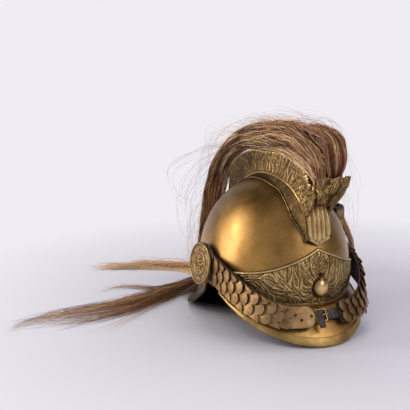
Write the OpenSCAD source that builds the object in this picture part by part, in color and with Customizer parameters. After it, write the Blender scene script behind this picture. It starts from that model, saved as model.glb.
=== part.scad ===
// Brass gendarme helmet with a horsehair mane, a visor, a neck guard and a buckled scale chin band.
// The origin is the centre of the head opening. The front is -Y, the wearer's left is +X, up is +Z.
// The helmet stands as it was found on a table: on the visor's tip and the neck guard's hem.

/* [Bowl] */
// Half width of the bowl over the ears
bowl_half_w = 95.6; // [92:0.2:99]
// Half length of the bowl from front to back, and the radius of its crown
bowl_half_l = 117.2; // [114:0.2:121]
// Height of the bowl's widest belt above its rim
belt_h = 23.5; // [20:0.5:27]
// Thickness of the bowl's brass
bowl_t = 1.2; // [0.8:0.1:1.6]
// Small gap that thin pieces keep from what they lie on
seat = 0.3; // [0.2:0.05:0.4]

/* [Visor] */
// How far the visor's tip stands out in front of the bowl
visor_out = 34.8; // [28:0.2:42]
// How far the visor's edge would stand out from the bowl at the ears
visor_side_out = 10.4; // [7:0.2:14]
// Drop of the visor's tip below the bowl's rim
visor_drop = 40; // [34:0.5:46]
// Thickness of the visor's brass
visor_t = 1; // [0.7:0.1:1.4]
// Height of the riveted flanges inside the bowl
flange_h = 8; // [7:0.5:10]
// Thickness of the folded edging strips
edging_t = 0.9; // [0.6:0.1:1.3]
// Thickness of the leather linings
lining_t = 1.2; // [0.8:0.1:1.8]

/* [Neck guard] */
// How far the guard's hem stands out behind the bowl
guard_out = 13.8; // [10:0.2:20]
// How far the guard's hem stands out beside the bowl
guard_side_out = 7.4; // [4:0.2:11]
// Drop of the guard's hem below the bowl's rim, at the back
guard_drop = 62; // [56:0.5:68]
// How far the guard's hem rises from its middle to its ends
guard_lift = 4.5; // [3:0.5:6]
// Thickness of the guard's brass
guard_t = 1; // [0.7:0.1:1.4]

/* [Front plate] */
// Height of the plate's peak above the rim
plate_peak_h = 75; // [70:0.5:77]
// Height of the plate's ends by the ears
plate_side_h = 32; // [28:0.5:36]
// Height of the plate's lower border above the rim
plate_foot_h = 3; // [2:0.5:4]
// How far the plate's ends stay inside the bowl's widest line
plate_inset = 1.6; // [0.8:0.1:5]
// Thickness of the plate
plate_t = 1; // [0.8:0.1:1.4]
// Width of the plate's raised border
plate_border = 2.6; // [2:0.1:4]
// Height of the grenade's middle above the rim
grenade_h = 25; // [23:0.5:29]
// Width of the grenade's ball
grenade_w = 21.5; // [18:0.5:22]
// Height of the grenade's ball
grenade_tall = 26.5; // [22:0.5:28]
// How far the grenade's ball stands out from the plate
grenade_depth = 8; // [6:0.5:8.5]

/* [Crest] */
// Thickness of the crest's brass
crest_t = 0.9; // [0.7:0.1:1.2]
// Half width of the crest's top edge at the front
crest_top_w = 15; // [13:0.5:17]
// Half width of the crest's top edge at the back
crest_back_w = 9; // [8:0.5:12]
// Half width of the skirt's lower bead
skirt_w = 24; // [21:0.5:27]
// Height of the crest above the bowl at the crown
crest_h = 34; // [30:0.5:38]
// How far the crest's back end stays inside the bowl's back
crest_inset = 1.2; // [0.4:0.1:3]
// Number of ridges on the front panel
flutes = 5; // [3:1:7]
// Depth of the front panel's ridges
flute_depth = 2.2; // [1:0.1:3]
// Diameter of the crest bolts
crest_bolt_d = 4; // [3:0.5:5]

/* [Tuft cup] */
// Width of the cup's mouth
cup_w = 28; // [26:0.5:32]
// Length of the cup's mouth, front to back
cup_l = 47; // [42:0.5:50]
// Number of leaves round the cup
cup_leaves = 8; // [6:1:12]
// Thickness of the cup's wall
cup_t = 1.4; // [1:0.1:2]
// Outer diameter of the ferrule that holds the tuft
ferrule_d = 13; // [11:0.5:14]

/* [Rosettes] */
// Outer diameter of a rosette
rosette_d = 56; // [50:0.5:58]
// Thickness of a rosette's rim
rosette_t = 3; // [2:0.5:4]
// Lean of the rosettes, tops inward
rosette_lean = 8; // [4:0.5:9]
// Number of petals on a rosette
petals = 10; // [6:1:14]
// Distance of the rosettes' axis behind the middle of the bowl
ear_y = 8.1; // [6:0.1:10]
// Height of the rosettes' axis above the rim
ear_h = 29.2; // [27:0.1:31]
// Diameter of the rosette studs
stud_d = 5; // [4:0.5:6]

/* [Chin band] */
// Gap between the bowl and the leather at the ears
band_off = 1.9; // [1.7:0.1:3]
// Distance from the bowl's front to the front of the loop
band_out = 15.7; // [13.7:0.1:20]
// Drop of the loop from the ears to the buckle
band_drop = 34.6; // [32:0.2:37]
// Tilt of the band at the buckle, bottom outward
band_tilt = 36; // [30:1:40]
// Band width beside the rosettes
band_ear_w = 38; // [34:0.5:40]
// Band width at the buckle
band_front_w = 28; // [25:0.5:30]
// Thickness of the leather backing
leather_t = 2; // [1.5:0.1:2.4]
// Distance from one row of scales to the next
row_pitch = 12; // [11:0.5:13]
// How far each row reaches over the next one
row_lap = 5; // [4:0.5:6]
// Thickness of a scale row
scale_t = 0.9; // [0.6:0.1:1.1]
// Height of the crown stamped into each lobe
lobe_crown = 0.9; // [0.5:0.1:1.2]
// Number of rows on the right, which ends in a smooth plate
right_rows = 11; // [10:1:11]
// Number of rows on the left
left_rows = 13; // [11:1:13]

/* [Buckle] */
// Width of the buckle frame along the band
buckle_w = 16; // [15:0.5:18]
// Height of the buckle frame
buckle_h = 17; // [16:0.5:19]
// Thickness of the buckle's wire
wire_d = 2.2; // [1.8:0.1:2.4]
// Width of the leather strap
strap_w = 12; // [10:0.5:12]
// Thickness of the leather strap
strap_t = 1.8; // [1.4:0.1:2]
// Length of the strap's hanging end
strap_end = 23; // [18:0.5:26]

/* [Plume socket] */
// Outer width of the square socket
socket_w = 12; // [11:0.5:13]
// Length of the socket
socket_l = 26; // [22:0.5:28]
// Diameter of the plume's bore
plume_bore_d = 7; // [5:0.5:7.5]
// Lean of the socket, top inward
socket_lean = 19.7; // [17:0.5:22]
// Height of the socket's foot above the rim
socket_h = 70; // [68:0.5:74]
// How far the socket lies in front of the middle of the bowl
socket_y = 21; // [19:0.5:24]

/* [Liner] */
// Height of the leather headband
headband_h = 21; // [18:0.5:22]
// Thickness of the liner's leather
liner_t = 1.8; // [1.2:0.1:2.2]
// Number of liner tongues
tongues = 8; // [8:4:8]
// Diameter of the lace that gathers the tongues
lace_d = 3; // [2:0.5:4]

/* [Hair] */
// Width of the main lock of the mane
lock_w = 32; // [26:1:36]
// Thickness of the tail that lies on the table
tail_t = 16; // [12:1:18]

/* [Hidden] */

BRASS = "#b8893f";
OLD_BRASS = "#8f7a45";
TAN_BRASS = "#af8c64";
LEATHER = "#231d1a";
LINER = "#6b4a30";
HAIR = "#785540";
WISP = "#be9664";
IRON = "#5c5a58";

// Reaches of the pieces that follow the bowl, from its middle
visor_reach = bowl_half_l + visor_out;
visor_half_w = bowl_half_w + visor_side_out;
guard_reach = bowl_half_l + guard_out;
guard_half_w = bowl_half_w + guard_side_out;
plate_half_w = bowl_half_w - plate_inset;
crest_back_y = bowl_half_l - crest_inset;
band_reach = bowl_half_l + band_out + ear_y;

// The hair and the cup are laid out round a bowl and a crest of these sizes, and follow the real ones.
laid_half_w = 95.6;
laid_half_l = 117.2;
laid_belt_h = 23.5;
laid_crest_h = 34;
laid_lock_w = 32;
laid_cup_w = 28;
reach_k = (bowl_half_l + crest_h) / (laid_half_l + laid_crest_h);
lock_k = lock_w / laid_lock_w;
cup_k = cup_w / laid_cup_w;
function laid(p) = [p.x, p.y * reach_k, belt_h + (p.z - laid_belt_h) * (p.z > laid_belt_h ? reach_k : 1)];

// The same for a strand beside the bowl, from the crest's hair outward
function laid_beside(p) =
  laid(p) + [(bowl_half_w - laid_half_w) * min(1, (p.x - lock_w / 2) / (laid_half_w - lock_w / 2)), 0, 0];

// General forms
function unit(v) = v / norm(v);
function mix(a, b, f) = a + (b - a) * f;
function stood(p) = [p.x, p.y * cos(stance) - p.z * sin(stance), p.y * sin(stance) + p.z * cos(stance)];

// Half width of the bowl's surface, grown by off, at a place y and a height z
function dome_x(y, z, off = 0) =
  (bowl_half_w + off) * sqrt(1 - pow(y / (bowl_half_l + off), 2) - pow((z - belt_h) / (bowl_half_l + off), 2));

// Point of the bowl's surface at the turn phi from the front (way -1) or the back (way 1)
function dome_ring(phi, z, off, way) =
  let (k = sqrt(1 - pow((z - belt_h) / (bowl_half_l + off), 2)))
  [(bowl_half_w + off) * k * sin(phi), way * (bowl_half_l + off) * k * cos(phi), z];

// Radius of the bowl's surface seen from the side, at a distance x from the middle
function dome_r(x, off = 0) = (bowl_half_l + off) * sqrt(1 - pow(x / (bowl_half_w + off), 2));

// Normal of a grid of points, and the grid moved along it
function grid_normal(g, i, j) =
  let (
    n = len(g) - 1,
    m = len(g[0]) - 1,
    du = g[min(i + 1, n)][j] - g[max(i - 1, 0)][j],
    dv = g[i][min(j + 1, m)] - g[i][max(j - 1, 0)]
  )
  unit(cross(du, dv));
function grid_moved(g, t) =
  [for (i = [0:len(g) - 1]) [for (j = [0:len(g[0]) - 1]) g[i][j] + t * grid_normal(g, i, j)]];

// Closed skin between an outer and an inner grid of the same size
module skin(outer, inner) {
  n = len(outer) - 1;
  m = len(outer[0]) - 1;
  k = (n + 1) * (m + 1);
  points = [for (g = [outer, inner]) for (row = g) for (p = row) p];
  function at(i, j, layer = 0) = layer * k + i * (m + 1) + j;
  faces = concat(
    [for (i = [0:n - 1]) for (j = [0:m - 1]) [at(i, j), at(i, j + 1), at(i + 1, j + 1)]],
    [for (i = [0:n - 1]) for (j = [0:m - 1]) [at(i, j), at(i + 1, j + 1), at(i + 1, j)]],
    [for (i = [0:n - 1]) for (j = [0:m - 1]) [at(i, j, 1), at(i + 1, j + 1, 1), at(i, j + 1, 1)]],
    [for (i = [0:n - 1]) for (j = [0:m - 1]) [at(i, j, 1), at(i + 1, j, 1), at(i + 1, j + 1, 1)]],
    [for (i = [0:n - 1]) [at(i, 0), at(i + 1, 0), at(i + 1, 0, 1)]],
    [for (i = [0:n - 1]) [at(i, 0), at(i + 1, 0, 1), at(i, 0, 1)]],
    [for (i = [0:n - 1]) [at(i + 1, m), at(i, m), at(i, m, 1)]],
    [for (i = [0:n - 1]) [at(i + 1, m), at(i, m, 1), at(i + 1, m, 1)]],
    [for (j = [0:m - 1]) [at(0, j + 1), at(0, j), at(0, j, 1)]],
    [for (j = [0:m - 1]) [at(0, j + 1), at(0, j, 1), at(0, j + 1, 1)]],
    [for (j = [0:m - 1]) [at(n, j), at(n, j + 1), at(n, j + 1, 1)]],
    [for (j = [0:m - 1]) [at(n, j), at(n, j + 1, 1), at(n, j, 1)]]
  );
  polyhedron(points, faces);
}

// Sheet of thickness t whose outer face is the grid g
module sheet(g, t) skin(g, grid_moved(g, -t));

// Closed tube through rings of points, with a flat face at each end
module rings_solid(rings) {
  n = len(rings) - 1;
  k = len(rings[0]);
  points = [for (ring = rings) for (p = ring) p];
  faces = concat(
    [for (i = [0:n - 1]) for (j = [0:k - 1]) [i * k + j, (i + 1) * k + j, (i + 1) * k + (j + 1) % k]],
    [for (i = [0:n - 1]) for (j = [0:k - 1]) [i * k + j, (i + 1) * k + (j + 1) % k, i * k + (j + 1) % k]],
    [[for (j = [0:k - 1]) j]],
    [[for (j = [0:k - 1]) n * k + k - 1 - j]]
  );
  polyhedron(points, faces);
}

// Lock of hair along stations of [place, half thickness, half width]; side is the direction of its width
module lock(stations, side = [1, 0, 0], sides = 10) {
  n = len(stations) - 1;
  rings_solid([
    for (i = [0:n])
      let (
        s = stations[i],
        run = unit(stations[min(i + 1, n)][0] - stations[max(i - 1, 0)][0]),
        thick = unit(cross(side, run)),
        wide = cross(run, thick)
      )
      [for (j = [0:sides - 1]) s[0] + thick * s[1] * cos(360 * j / sides) + wide * s[2] * sin(360 * j / sides)]
  ]);
}

module dome(off, facets = 128) translate([0, 0, belt_h])
  scale([(bowl_half_w + off) / (bowl_half_l + off), 1, 1])
    sphere(bowl_half_l + off, $fn = facets);

module dome_shell(inner, outer) difference() {
  dome(outer);
  dome(inner);
}

module stand() rotate([stance, 0, 0]) children();

module both_sides() {
  children();
  mirror([1, 0, 0]) children();
}

// Places children at a point of the bowl's surface, their Z outward
module at_normal(p) {
  n = unit([p.x / pow(bowl_half_w, 2), p.y / pow(bowl_half_l, 2), (p.z - belt_h) / pow(bowl_half_l, 2)]);
  translate(p) rotate([0, acos(n.z), atan2(n.y, n.x)]) children();
}

// The same, at the turn phi from the front (way -1) or the back (way 1) and at the height z
module on_dome(phi, z, off, way) {
  at_normal(dome_ring(phi, z, off, way)) children();
}

// Bowl
rivet_turns = [-60, -30, 0, 30, 60];
rivet_h = flange_h * 0.65;
rivet_d = 3;
flange_sag = 0.6;
rivet_head_t = 0.8;
lining_gap = 0.55;
fit = 0.1;
socket_gap = 2.8;
socket_x = dome_x(-socket_y, socket_h) + socket_w / 2 + socket_gap;
crest_bolt_turns = [14, -25];

module bowl() stand() color(BRASS) difference() {
  dome_shell(-bowl_t, 0);
  translate([-150, -150, -200]) cube([300, 300, 200]);
  translate([-150, ear_y, ear_h]) rotate([0, 90, 0]) cylinder(h = 300, d = stud_d + 2 * fit, $fn = 48);
  rivet_holes(-1);
  rivet_holes(1);
  crest_bolt_holes();
  socket_rivet_places() cylinder(h = 20, d = socket_rivet_d + 2 * fit, center = true, $fn = 32);
}

module rivet_holes(way) for (phi = rivet_turns)
  on_dome(phi, rivet_h, 0, way) cylinder(h = 16, d = rivet_d + 2 * fit, center = true, $fn = 32);

// Round-headed rivets from the flange inside the bowl to the face at the offset top
module rivets(way, top, flange) for (phi = rivet_turns)
  on_dome(phi, rivet_h, 0, way) {
    low = -bowl_t - seat - flange - flange_sag;
    translate([0, 0, low]) cylinder(h = top - low + 0.2, d = rivet_d, $fn = 32);
    translate([0, 0, low - rivet_head_t]) cylinder(h = rivet_head_t, d = rivet_d + 1.6, $fn = 32);
    translate([0, 0, top + 0.2]) cylinder(h = rivet_head_t, d1 = rivet_d + 1.6, d2 = rivet_d, $fn = 32);
  }

// Front plate: a thin shell on the bowl, cut to its outline, with a raised border along its top
module plate_outline(inset = 0) {
  polygon([
    [-plate_half_w, plate_foot_h],
    [plate_half_w, plate_foot_h],
    [plate_half_w, plate_side_h - inset],
    [0, plate_peak_h - inset * 1.1],
    [-plate_half_w, plate_side_h - inset]
  ]);
}
plate_top = seat + plate_t;

module front_plate() stand() color(OLD_BRASS) difference() {
  union() {
    intersection() {
      dome_shell(seat, plate_top);
      translate([0, -ear_y - 12, 0]) rotate([90, 0, 0]) linear_extrude(200) plate_outline();
    }
    intersection() {
      dome_shell(plate_top - 0.4, plate_top + 1.1);
      translate([0, -ear_y - 12, 0]) rotate([90, 0, 0]) linear_extrude(200) difference() {
        plate_outline();
        plate_outline(plate_border);
        translate([-100, 0]) square([200, plate_foot_h + 4]);
      }
    }
  }
  rivet_holes(-1);
}

module visor_rivets() stand() color(OLD_BRASS) rivets(-1, plate_top, visor_t);
module neck_guard_rivets() stand() color(OLD_BRASS) rivets(1, 0, guard_t);

// Grenade: an egg-shaped ball on the plate, with a short neck and flame
module grenade() stand() color(BRASS) difference() {
  union() {
    translate([0, -bowl_half_l - plate_top, grenade_h])
      scale([grenade_w / grenade_tall, grenade_depth / (grenade_tall / 2), 1])
        sphere(d = grenade_tall, $fn = 64);
    translate([0, -bowl_half_l - plate_top - 0.5, grenade_h + grenade_tall / 2 - 1.2]) {
      cylinder(h = 3, d1 = 5.4, d2 = 4.4, $fn = 32);
      translate([0, 0, 2.8]) cylinder(h = 4.6, d1 = 4, d2 = 8, $fn = 32);
    }
  }
  dome(plate_top + seat, 320);
}

// Crest, seen from the side in turns from the crown, positive to the front
panel_top_turn = 39.2;
panel_gap = 0.93;
panel_tip_turn = acos((plate_peak_h + panel_gap - belt_h) / (bowl_half_l + seat));
panel_foot_turn = panel_tip_turn - 3.5;
panel_half_w = crest_top_w + 1;
function crest_pt(turn, r, x) = [x, -r * sin(turn), belt_h + r * cos(turn)];
function panel_r(turn) = bowl_half_l + lookup(turn, [[panel_top_turn, 25.4], [panel_foot_turn, 7.6], [panel_tip_turn, 0.3]]);
function arch_r(turn) =
  bowl_half_l + crest_h + lookup(turn, [[-46, 6.6], [-29, 3], [-7, -2], [7, 4], [24, 18], [33, 25], [38, 29]]);
function crest_r(turn) =
  turn > 38.5 ? panel_r(turn)
  : turn < -47 ? min(arch_r(-46), crest_back_y / sin(-turn))
  : arch_r(turn);
function bead_r(turn) =
  dome_r(12) + lookup(turn, [[-66, 3], [-26, 3], [-10, 4.6], [0, 6], [12, 9.5], [27, 16], [38, 18], [47, 14.6], [56, 7.4], [60, 4]]);
function bead_w(turn) =
  lookup(turn, [[-66, crest_back_w + 2], [-46, crest_back_w + 2.5], [0, crest_top_w - 0.5], [30, panel_half_w], [60, panel_half_w]]);
function top_w(turn) =
  lookup(turn, [[-66, crest_back_w], [-46, crest_back_w], [0, mix(crest_back_w, crest_top_w, 0.7)],
    [38, crest_top_w], [39.2, panel_half_w], [60, panel_half_w]]);
function foot_w(turn) = max(
  bead_w(turn) + 1.6,
  skirt_w + lookup(turn, [[-66, -5], [-46, -1], [-20, 2], [8, 0], [19, -3], [31, -1], [42.5, 0.5], [51.8, -4], [58.5, -8], [60, -9]])
);

// One station of the left side, from the lower bead on the bowl to the top edge
function crest_station(turn) =
  let (
    fw = foot_w(turn),
    fr = dome_r(fw, seat + crest_t),
    bw = bead_w(turn),
    br = bead_r(turn),
    tw = top_w(turn),
    tr = crest_r(turn)
  )
  [
    crest_pt(turn, fr, fw),
    crest_pt(turn, dome_r(fw - 1, 2.4), fw - 0.9),
    crest_pt(turn, dome_r(fw - 2.4, 1.4), fw - 2.4),
    crest_pt(turn, mix(dome_r(mix(fw, bw, 0.6), 1.4), br, 0.25), mix(fw, bw, 0.6)),
    crest_pt(turn, br - 0.8, bw + 0.4),
    crest_pt(turn, br + 0.4, bw + 1),
    crest_pt(turn, br + 1.6, bw),
    crest_pt(turn, mix(br, tr, 0.5), mix(bw, tw, 0.5) - 0.6),
    crest_pt(turn, tr - 1.6, tw - 0.2),
    crest_pt(turn, tr, tw)
  ];
crest_turns = [60, 56, 52, 48, 44, 41, 39.2, 38, 34, 29, 24, 18, 12, 6, 0, -6, -12, -18, -24, -30, -36, -41, -46, -52, -59, -66];

module crest_side() color(OLD_BRASS) sheet([for (turn = crest_turns) crest_station(turn)], crest_t);
module crest_left_side() stand() crest_side();
module crest_right_side() stand() mirror([1, 0, 0]) crest_side();

// Fluted front panel, which narrows to a V at its foot
module crest_front_panel() stand() color(OLD_BRASS) {
  steps = 4 * flutes;
  sheet([
    for (i = [0:steps])
      let (x = panel_half_w * (2 * i / steps - 1), foot = mix(panel_tip_turn, panel_foot_turn, abs(x) / panel_half_w))
      [
        for (f = [0, 0.08, 0.3, 0.6, 0.92, 1])
          let (
            turn = mix(foot, panel_top_turn, f),
            ridge = f > 0.05 && f < 0.95 ? flute_depth * (0.5 - 0.5 * cos(360 * flutes * i / steps)) : 0
          )
          crest_pt(turn, panel_r(turn) + 2.5 * seat + crest_t + ridge, x * mix(1, 1.05, f))
      ]
  ], crest_t);
}

module crest_back_plate() stand() color(OLD_BRASS)
  translate([0, crest_back_y + seat + crest_t, 0]) rotate([90, 0, 0]) linear_extrude(crest_t) {
    low = belt_h + crest_back_y / tan(66);
    high = belt_h + arch_r(-46) * cos(46) - 1;
    polygon([[-crest_back_w - 2, low], [crest_back_w + 2, low], [crest_back_w, high], [-crest_back_w, high]]);
  }

// Rolled leaves along the top edge of the crest, down to the cup
leaf_roll = 2;
module crest_leaves() stand() color(OLD_BRASS) both_sides()
  lock([
    for (f = [0:0.2:1])
      let (turn = mix(23, 40.5, f), r = bowl_half_l + mix(45, 49, f) + 3 * sin(180 * f))
      [
        crest_pt(turn, r, top_w(min(turn, 38)) + seat + leaf_roll * (0.7 + 0.3 * f) + 0.5 * f),
        leaf_roll * (0.7 + 0.3 * f),
        1.4 + 4.4 * sin(180 * min(f * 0.75 + 0.08, 1))
      ]
  ], [0, -0.5, 0.87], 8);

// Crest bolts, from the mane's carrier through the crown, with nuts inside
carrier_top = 1.5;
carrier_t = 7;
bolt_reach = 6.5;
bolt_head_t = 1.4;
bolt_head_d = 2 * crest_bolt_d;
function bolt_top(turn) = arch_r(turn) - carrier_top - 2.7;
module crest_bolt_places() for (turn = crest_bolt_turns)
  translate([0, 0, belt_h]) rotate([turn, 0, 0]) {
    $bolt_turn = turn;
    children();
  }
module crest_bolt_holes() crest_bolt_places()
  translate([0, 0, bowl_half_l - 20]) cylinder(h = 90, d = crest_bolt_d + 2 * fit, $fn = 32);
module crest_bolts() stand() color(IRON) crest_bolt_places() {
  low = bowl_half_l - bowl_t - bolt_reach;
  translate([0, 0, low]) cylinder(h = bolt_top($bolt_turn) - low + 0.5, d = crest_bolt_d, $fn = 32);
  translate([0, 0, bolt_top($bolt_turn) + fit]) cylinder(h = bolt_head_t, d = bolt_head_d, $fn = 32);
}
module crest_nuts() stand() color(IRON) crest_bolt_places()
  translate([0, 0, bowl_half_l - bowl_t - seat - 3.8]) difference() {
    cylinder(h = 3.4, d = 2 * crest_bolt_d, $fn = 6);
    translate([0, 0, -1]) cylinder(h = 6, d = crest_bolt_d + 2 * fit, $fn = 32);
  }

// Carrier that fills the top of the crest and holds the hair's roots
carrier_turns = [36, 31, 24, 18, 12, 6, 0, -6, -12, -18, -24, -30, -36, -42];
module mane_carrier() stand() color(LINER) difference() {
  rings_solid([
    for (turn = carrier_turns)
      let (w = top_w(turn) - crest_t - 2 * seat - 0.4, high = arch_r(turn) - carrier_top)
      [
        crest_pt(turn, high, -w),
        crest_pt(turn, high, w),
        crest_pt(turn, high - carrier_t, w),
        crest_pt(turn, high - carrier_t, -w)
      ]
  ]);
  crest_bolt_places() {
    cylinder(h = 220, d = crest_bolt_d + 2 * fit, $fn = 32);
    translate([0, 0, bolt_top($bolt_turn)]) cylinder(h = 20, d = bolt_head_d + 2 * seat, $fn = 32);
  }
}

// Tuft cup: an open leafy prow in front of the crest's top. It leans forward, its mouth slants down to the
// back, and it narrows to a leaf's tip in front.
cup_steps = 4 * cup_leaves;
cup_mouth_h = 172.5;
cup_mouth_y = -137.5;
cup_mouth_tilt = 6.5;
cup_narrow = 0.4;
leaf_depth = 0.045;
leaf_lip = 1.2;
function cup_ring(z, y, rx, ry, tilt = 0, lip = 0) = [
  for (j = [0:cup_steps - 1])
    let (
      a = 360 * j / cup_steps,
      leaf = 1 + leaf_depth * cos(cup_leaves * a),
      narrow = 1 - cup_narrow * tilt / cup_mouth_tilt * max(0, -sin(a)),
      middle = laid([0, y, z])
    )
    middle + [rx * leaf * narrow * cos(a), ry * leaf * sin(a), lip * cos(cup_leaves * a) - tilt * sin(a)]
];
module tuft_cup() stand() color(OLD_BRASS) {
  rx = cup_w / 2;
  ry = cup_l / 2;
  t = cup_t;
  mouth = cup_mouth_h;
  rings_solid([
    cup_ring(mouth - 40.4, -108.2, rx * 0.72, ry * 0.5),
    cup_ring(mouth - 36.2, -114, rx * 0.86, ry * 0.8, 1.5),
    cup_ring(mouth - 23, -125.5, rx * 0.93, ry * 0.83, 3),
    cup_ring(mouth - 10.5, -134, rx * 0.97, ry * 0.88, 4.5),
    cup_ring(mouth, cup_mouth_y, rx, ry * 0.9, cup_mouth_tilt, leaf_lip),
    cup_ring(mouth, cup_mouth_y, rx - t, ry * 0.9 - t, cup_mouth_tilt, leaf_lip),
    cup_ring(mouth - 10.5, -134, rx * 0.97 - t, ry * 0.88 - t, 4.5),
    cup_ring(mouth - 23, -125.5, rx * 0.93 - t, ry * 0.83 - t, 3),
    cup_ring(mouth - 34.7, -115, rx * 0.86 - t, ry * 0.8 - t, 1.5)
  ]);
}

// The ferrule leans with the cup and stands on its floor
ferrule_lean = 27;
ferrule_l = 22;
ferrule_wall = 1.5;
ferrule_floor = 2;
ferrule_foot = laid([0, -115.5, 142.3]);
function ferrule_pt(l) = ferrule_foot + [0, -l * sin(ferrule_lean), l * cos(ferrule_lean)];
module ferrule_place() translate(ferrule_pt(0)) rotate([ferrule_lean, 0, 0]) children();
module tuft_ferrule() stand() color(OLD_BRASS) ferrule_place() difference() {
  cylinder(h = ferrule_l, d = ferrule_d, $fn = 48);
  translate([0, 0, ferrule_floor]) cylinder(h = ferrule_l, d = ferrule_d - 2 * ferrule_wall, $fn = 48);
}

// Hair. Each lock is a plain swept solid; single hairs are left to the finish.
module tuft() stand() color(HAIR) {
  root = ferrule_d / 2 - ferrule_wall - 0.5;
  lock([
    [ferrule_pt(ferrule_floor + 0.4), root, root],
    [ferrule_pt(ferrule_l), root, root],
    [laid([0, -128.5, cup_mouth_h - 4.5]), root + 1.4, root + 1.4],
    [laid([0, -132.5, cup_mouth_h + 5.5]), 9 * cup_k, cup_w * 0.34],
    [laid([0, -131, cup_mouth_h + 15]), 10.5 * cup_k, cup_w * 0.42],
    [laid([0, -129, cup_mouth_h + 26.5]), 11 * cup_k, cup_w * 0.48],
    [laid([0, -127.5, cup_mouth_h + 37.5]), 10.5 * cup_k, cup_w * 0.46],
    [laid([0, -124.5, cup_mouth_h + 46]), 8.5 * cup_k, cup_w * 0.34],
    [laid([0, -123, cup_mouth_h + 50.5]), 3.5 * cup_k, cup_w * 0.16]
  ], [1, 0, 0], 12);
}

// Section of the main lock over the crest: its foot lies on the carrier, its back at the height top
lock_turn_r = 150;
function crest_lock_at(y, top, w) =
  let (turn = atan2(-y, lock_turn_r), low = belt_h + arch_r(turn) * cos(turn) - 0.2, crown = laid([0, y, top]))
  [[0, crown.y, (crown.z + low) / 2], (crown.z - low) / 2, lock_w / 2 * w];
module mane_crest_lock() stand() color(HAIR) lock([
  [laid([0, -114.7, cup_mouth_h + 28.5]), 17 * lock_k, lock_w * 0.42],
  crest_lock_at(-100, 226, 0.95),
  crest_lock_at(-78, 225, 1),
  crest_lock_at(-52, 223, 1),
  crest_lock_at(-26, 219.5, 1),
  crest_lock_at(0, 215, 1),
  crest_lock_at(26, 209.5, 1),
  [laid([0, 55, 184.5]), 16.5 * lock_k, lock_w * 0.5],
  [laid([0, 84, 173]), 15.5 * lock_k, lock_w * 0.48],
  [laid([0, 112, 158]), 15.5 * lock_k, lock_w * 0.46]
], [1, 0, 0], 12);

module mane_falling_lock() color(HAIR) lock([
  [stood(laid([0, 112.4, 157.8])), 15.5 * lock_k, lock_w * 0.46],
  [stood(laid([0, 119.5, 154])), 15.5 * lock_k, lock_w * 0.455],
  [stood(laid([0, 138, 139])), 16 * lock_k, lock_w * 0.44],
  [stood(laid([0, 159, 115])), 17 * lock_k, lock_w * 0.42],
  [stood(laid([0, 173, 90])), 18 * lock_k, lock_w * 0.4],
  [stood(laid([-1, 182, 62])), 18 * lock_k, lock_w * 0.4],
  [stood(laid([-2, 187, 32])), 17 * lock_k, lock_w * 0.4],
  [stood(laid([-3, 189, 4])), 16 * lock_k, lock_w * 0.42],
  [stood(laid([-4, 188, -24])), 15 * lock_k, lock_w * 0.46],
  [[-5, 189 * reach_k, floor_z + tail_t + 0.5], 13 * lock_k, lock_w * 0.5]
], [1, 0, 0], 12);

// Tails that lie on the table beside the helmet
module tail(route, thick, wide, colour) color(colour) lock([
  for (i = [0:len(route) - 1])
    let (f = i / (len(route) - 1), h = mix(thick, thick * 0.2, f * f) / 2)
    [[route[i].x, route[i].y * reach_k, floor_z + h + 0.2], h, mix(wide, wide * 0.12, f * f) / 2]
], [0.3, 1, 0], 8);
module mane_table_tail()
  tail([[-2, 193], [-20, 168], [-50, 146], [-90, 123], [-135, 107], [-180, 92], [-225, 79], [-275, 73], [-320, 71], [-360, 69]],
    tail_t, lock_w * 0.9375, HAIR);
module mane_table_wisp()
  tail([[-6, 202.4], [-8, 226], [-18, 246], [-38, 264], [-64, 280], [-94, 295], [-126, 307], [-158, 318]],
    tail_t * 0.5, lock_w * 0.625, WISP);
module mane_left_strand() color(WISP) lock([
  [stood(laid_beside([16.9, 62, 186])), 3 * lock_k, 4 * lock_k],
  [stood(laid_beside([40, 58, 178])), 3 * lock_k, 5 * lock_k],
  [stood(laid_beside([68, 48, 150])), 3 * lock_k, 5 * lock_k],
  [stood(laid_beside([95, 38, 112])), 2.6 * lock_k, 5 * lock_k],
  [stood(laid_beside([118, 31, 78])), 2.4 * lock_k, 4.5 * lock_k],
  [stood(laid_beside([136, 29, 48])), 2.2 * lock_k, 4 * lock_k],
  [stood(laid_beside([149, 30, 24])), 2 * lock_k, 3.6 * lock_k],
  [stood(laid_beside([156, 34, 0])), 1.8 * lock_k, 3.2 * lock_k],
  [stood(laid_beside([154, 40, -26])), 1.6 * lock_k, 2.8 * lock_k],
  [stood(laid_beside([140, 52, -46])), 1.3 * lock_k, 2 * lock_k]
], [0, 1, 0], 6);

// Visor and neck guard: both run from the bowl's rim (f = 0) to their hem (f = 1)
rim_low = -0.6;
function visor_hem(phi) =
  let (w = visor_half_w * (1 - 0.08 * pow(max(0, abs(phi) - 50) / 30, 1.5)), y = -visor_reach * cos(phi))
  [w * sin(phi), y, min(-0.8, -visor_drop * (-y - 28) / (visor_reach - 28))];
function guard_hem(phi) =
  let (
    rim = dome_ring(phi, 0, 0, 1),
    flare = [
      guard_half_w * sign(phi) * pow(abs(sin(phi)), 0.8),
      guard_reach * pow(cos(phi), 0.8),
      0
    ],
    back = min(1, max(0, (flare.y - 10) / (guard_reach - 10))),
    fall = 1 - pow(1 - back, 2.8)
  )
  [
    mix(rim.x, flare.x, fall),
    mix(rim.y, flare.y, fall),
    min(-0.8, -guard_drop * fall + guard_lift * pow(flare.x / guard_half_w, 2))
  ];

// Share of the way outward and down, at the share f of the way to the hem
function visor_share(f) = [f, 0.85 * pow(f, 1.15) + 0.15 * pow(f, 10)];
function guard_share(f) = [0.1 * f + 0.9 * pow(f, 4), f];
function hem(phi, way) = way < 0 ? visor_hem(phi) : guard_hem(phi);
function share(f, way) = way < 0 ? visor_share(f) : guard_share(f);

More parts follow.
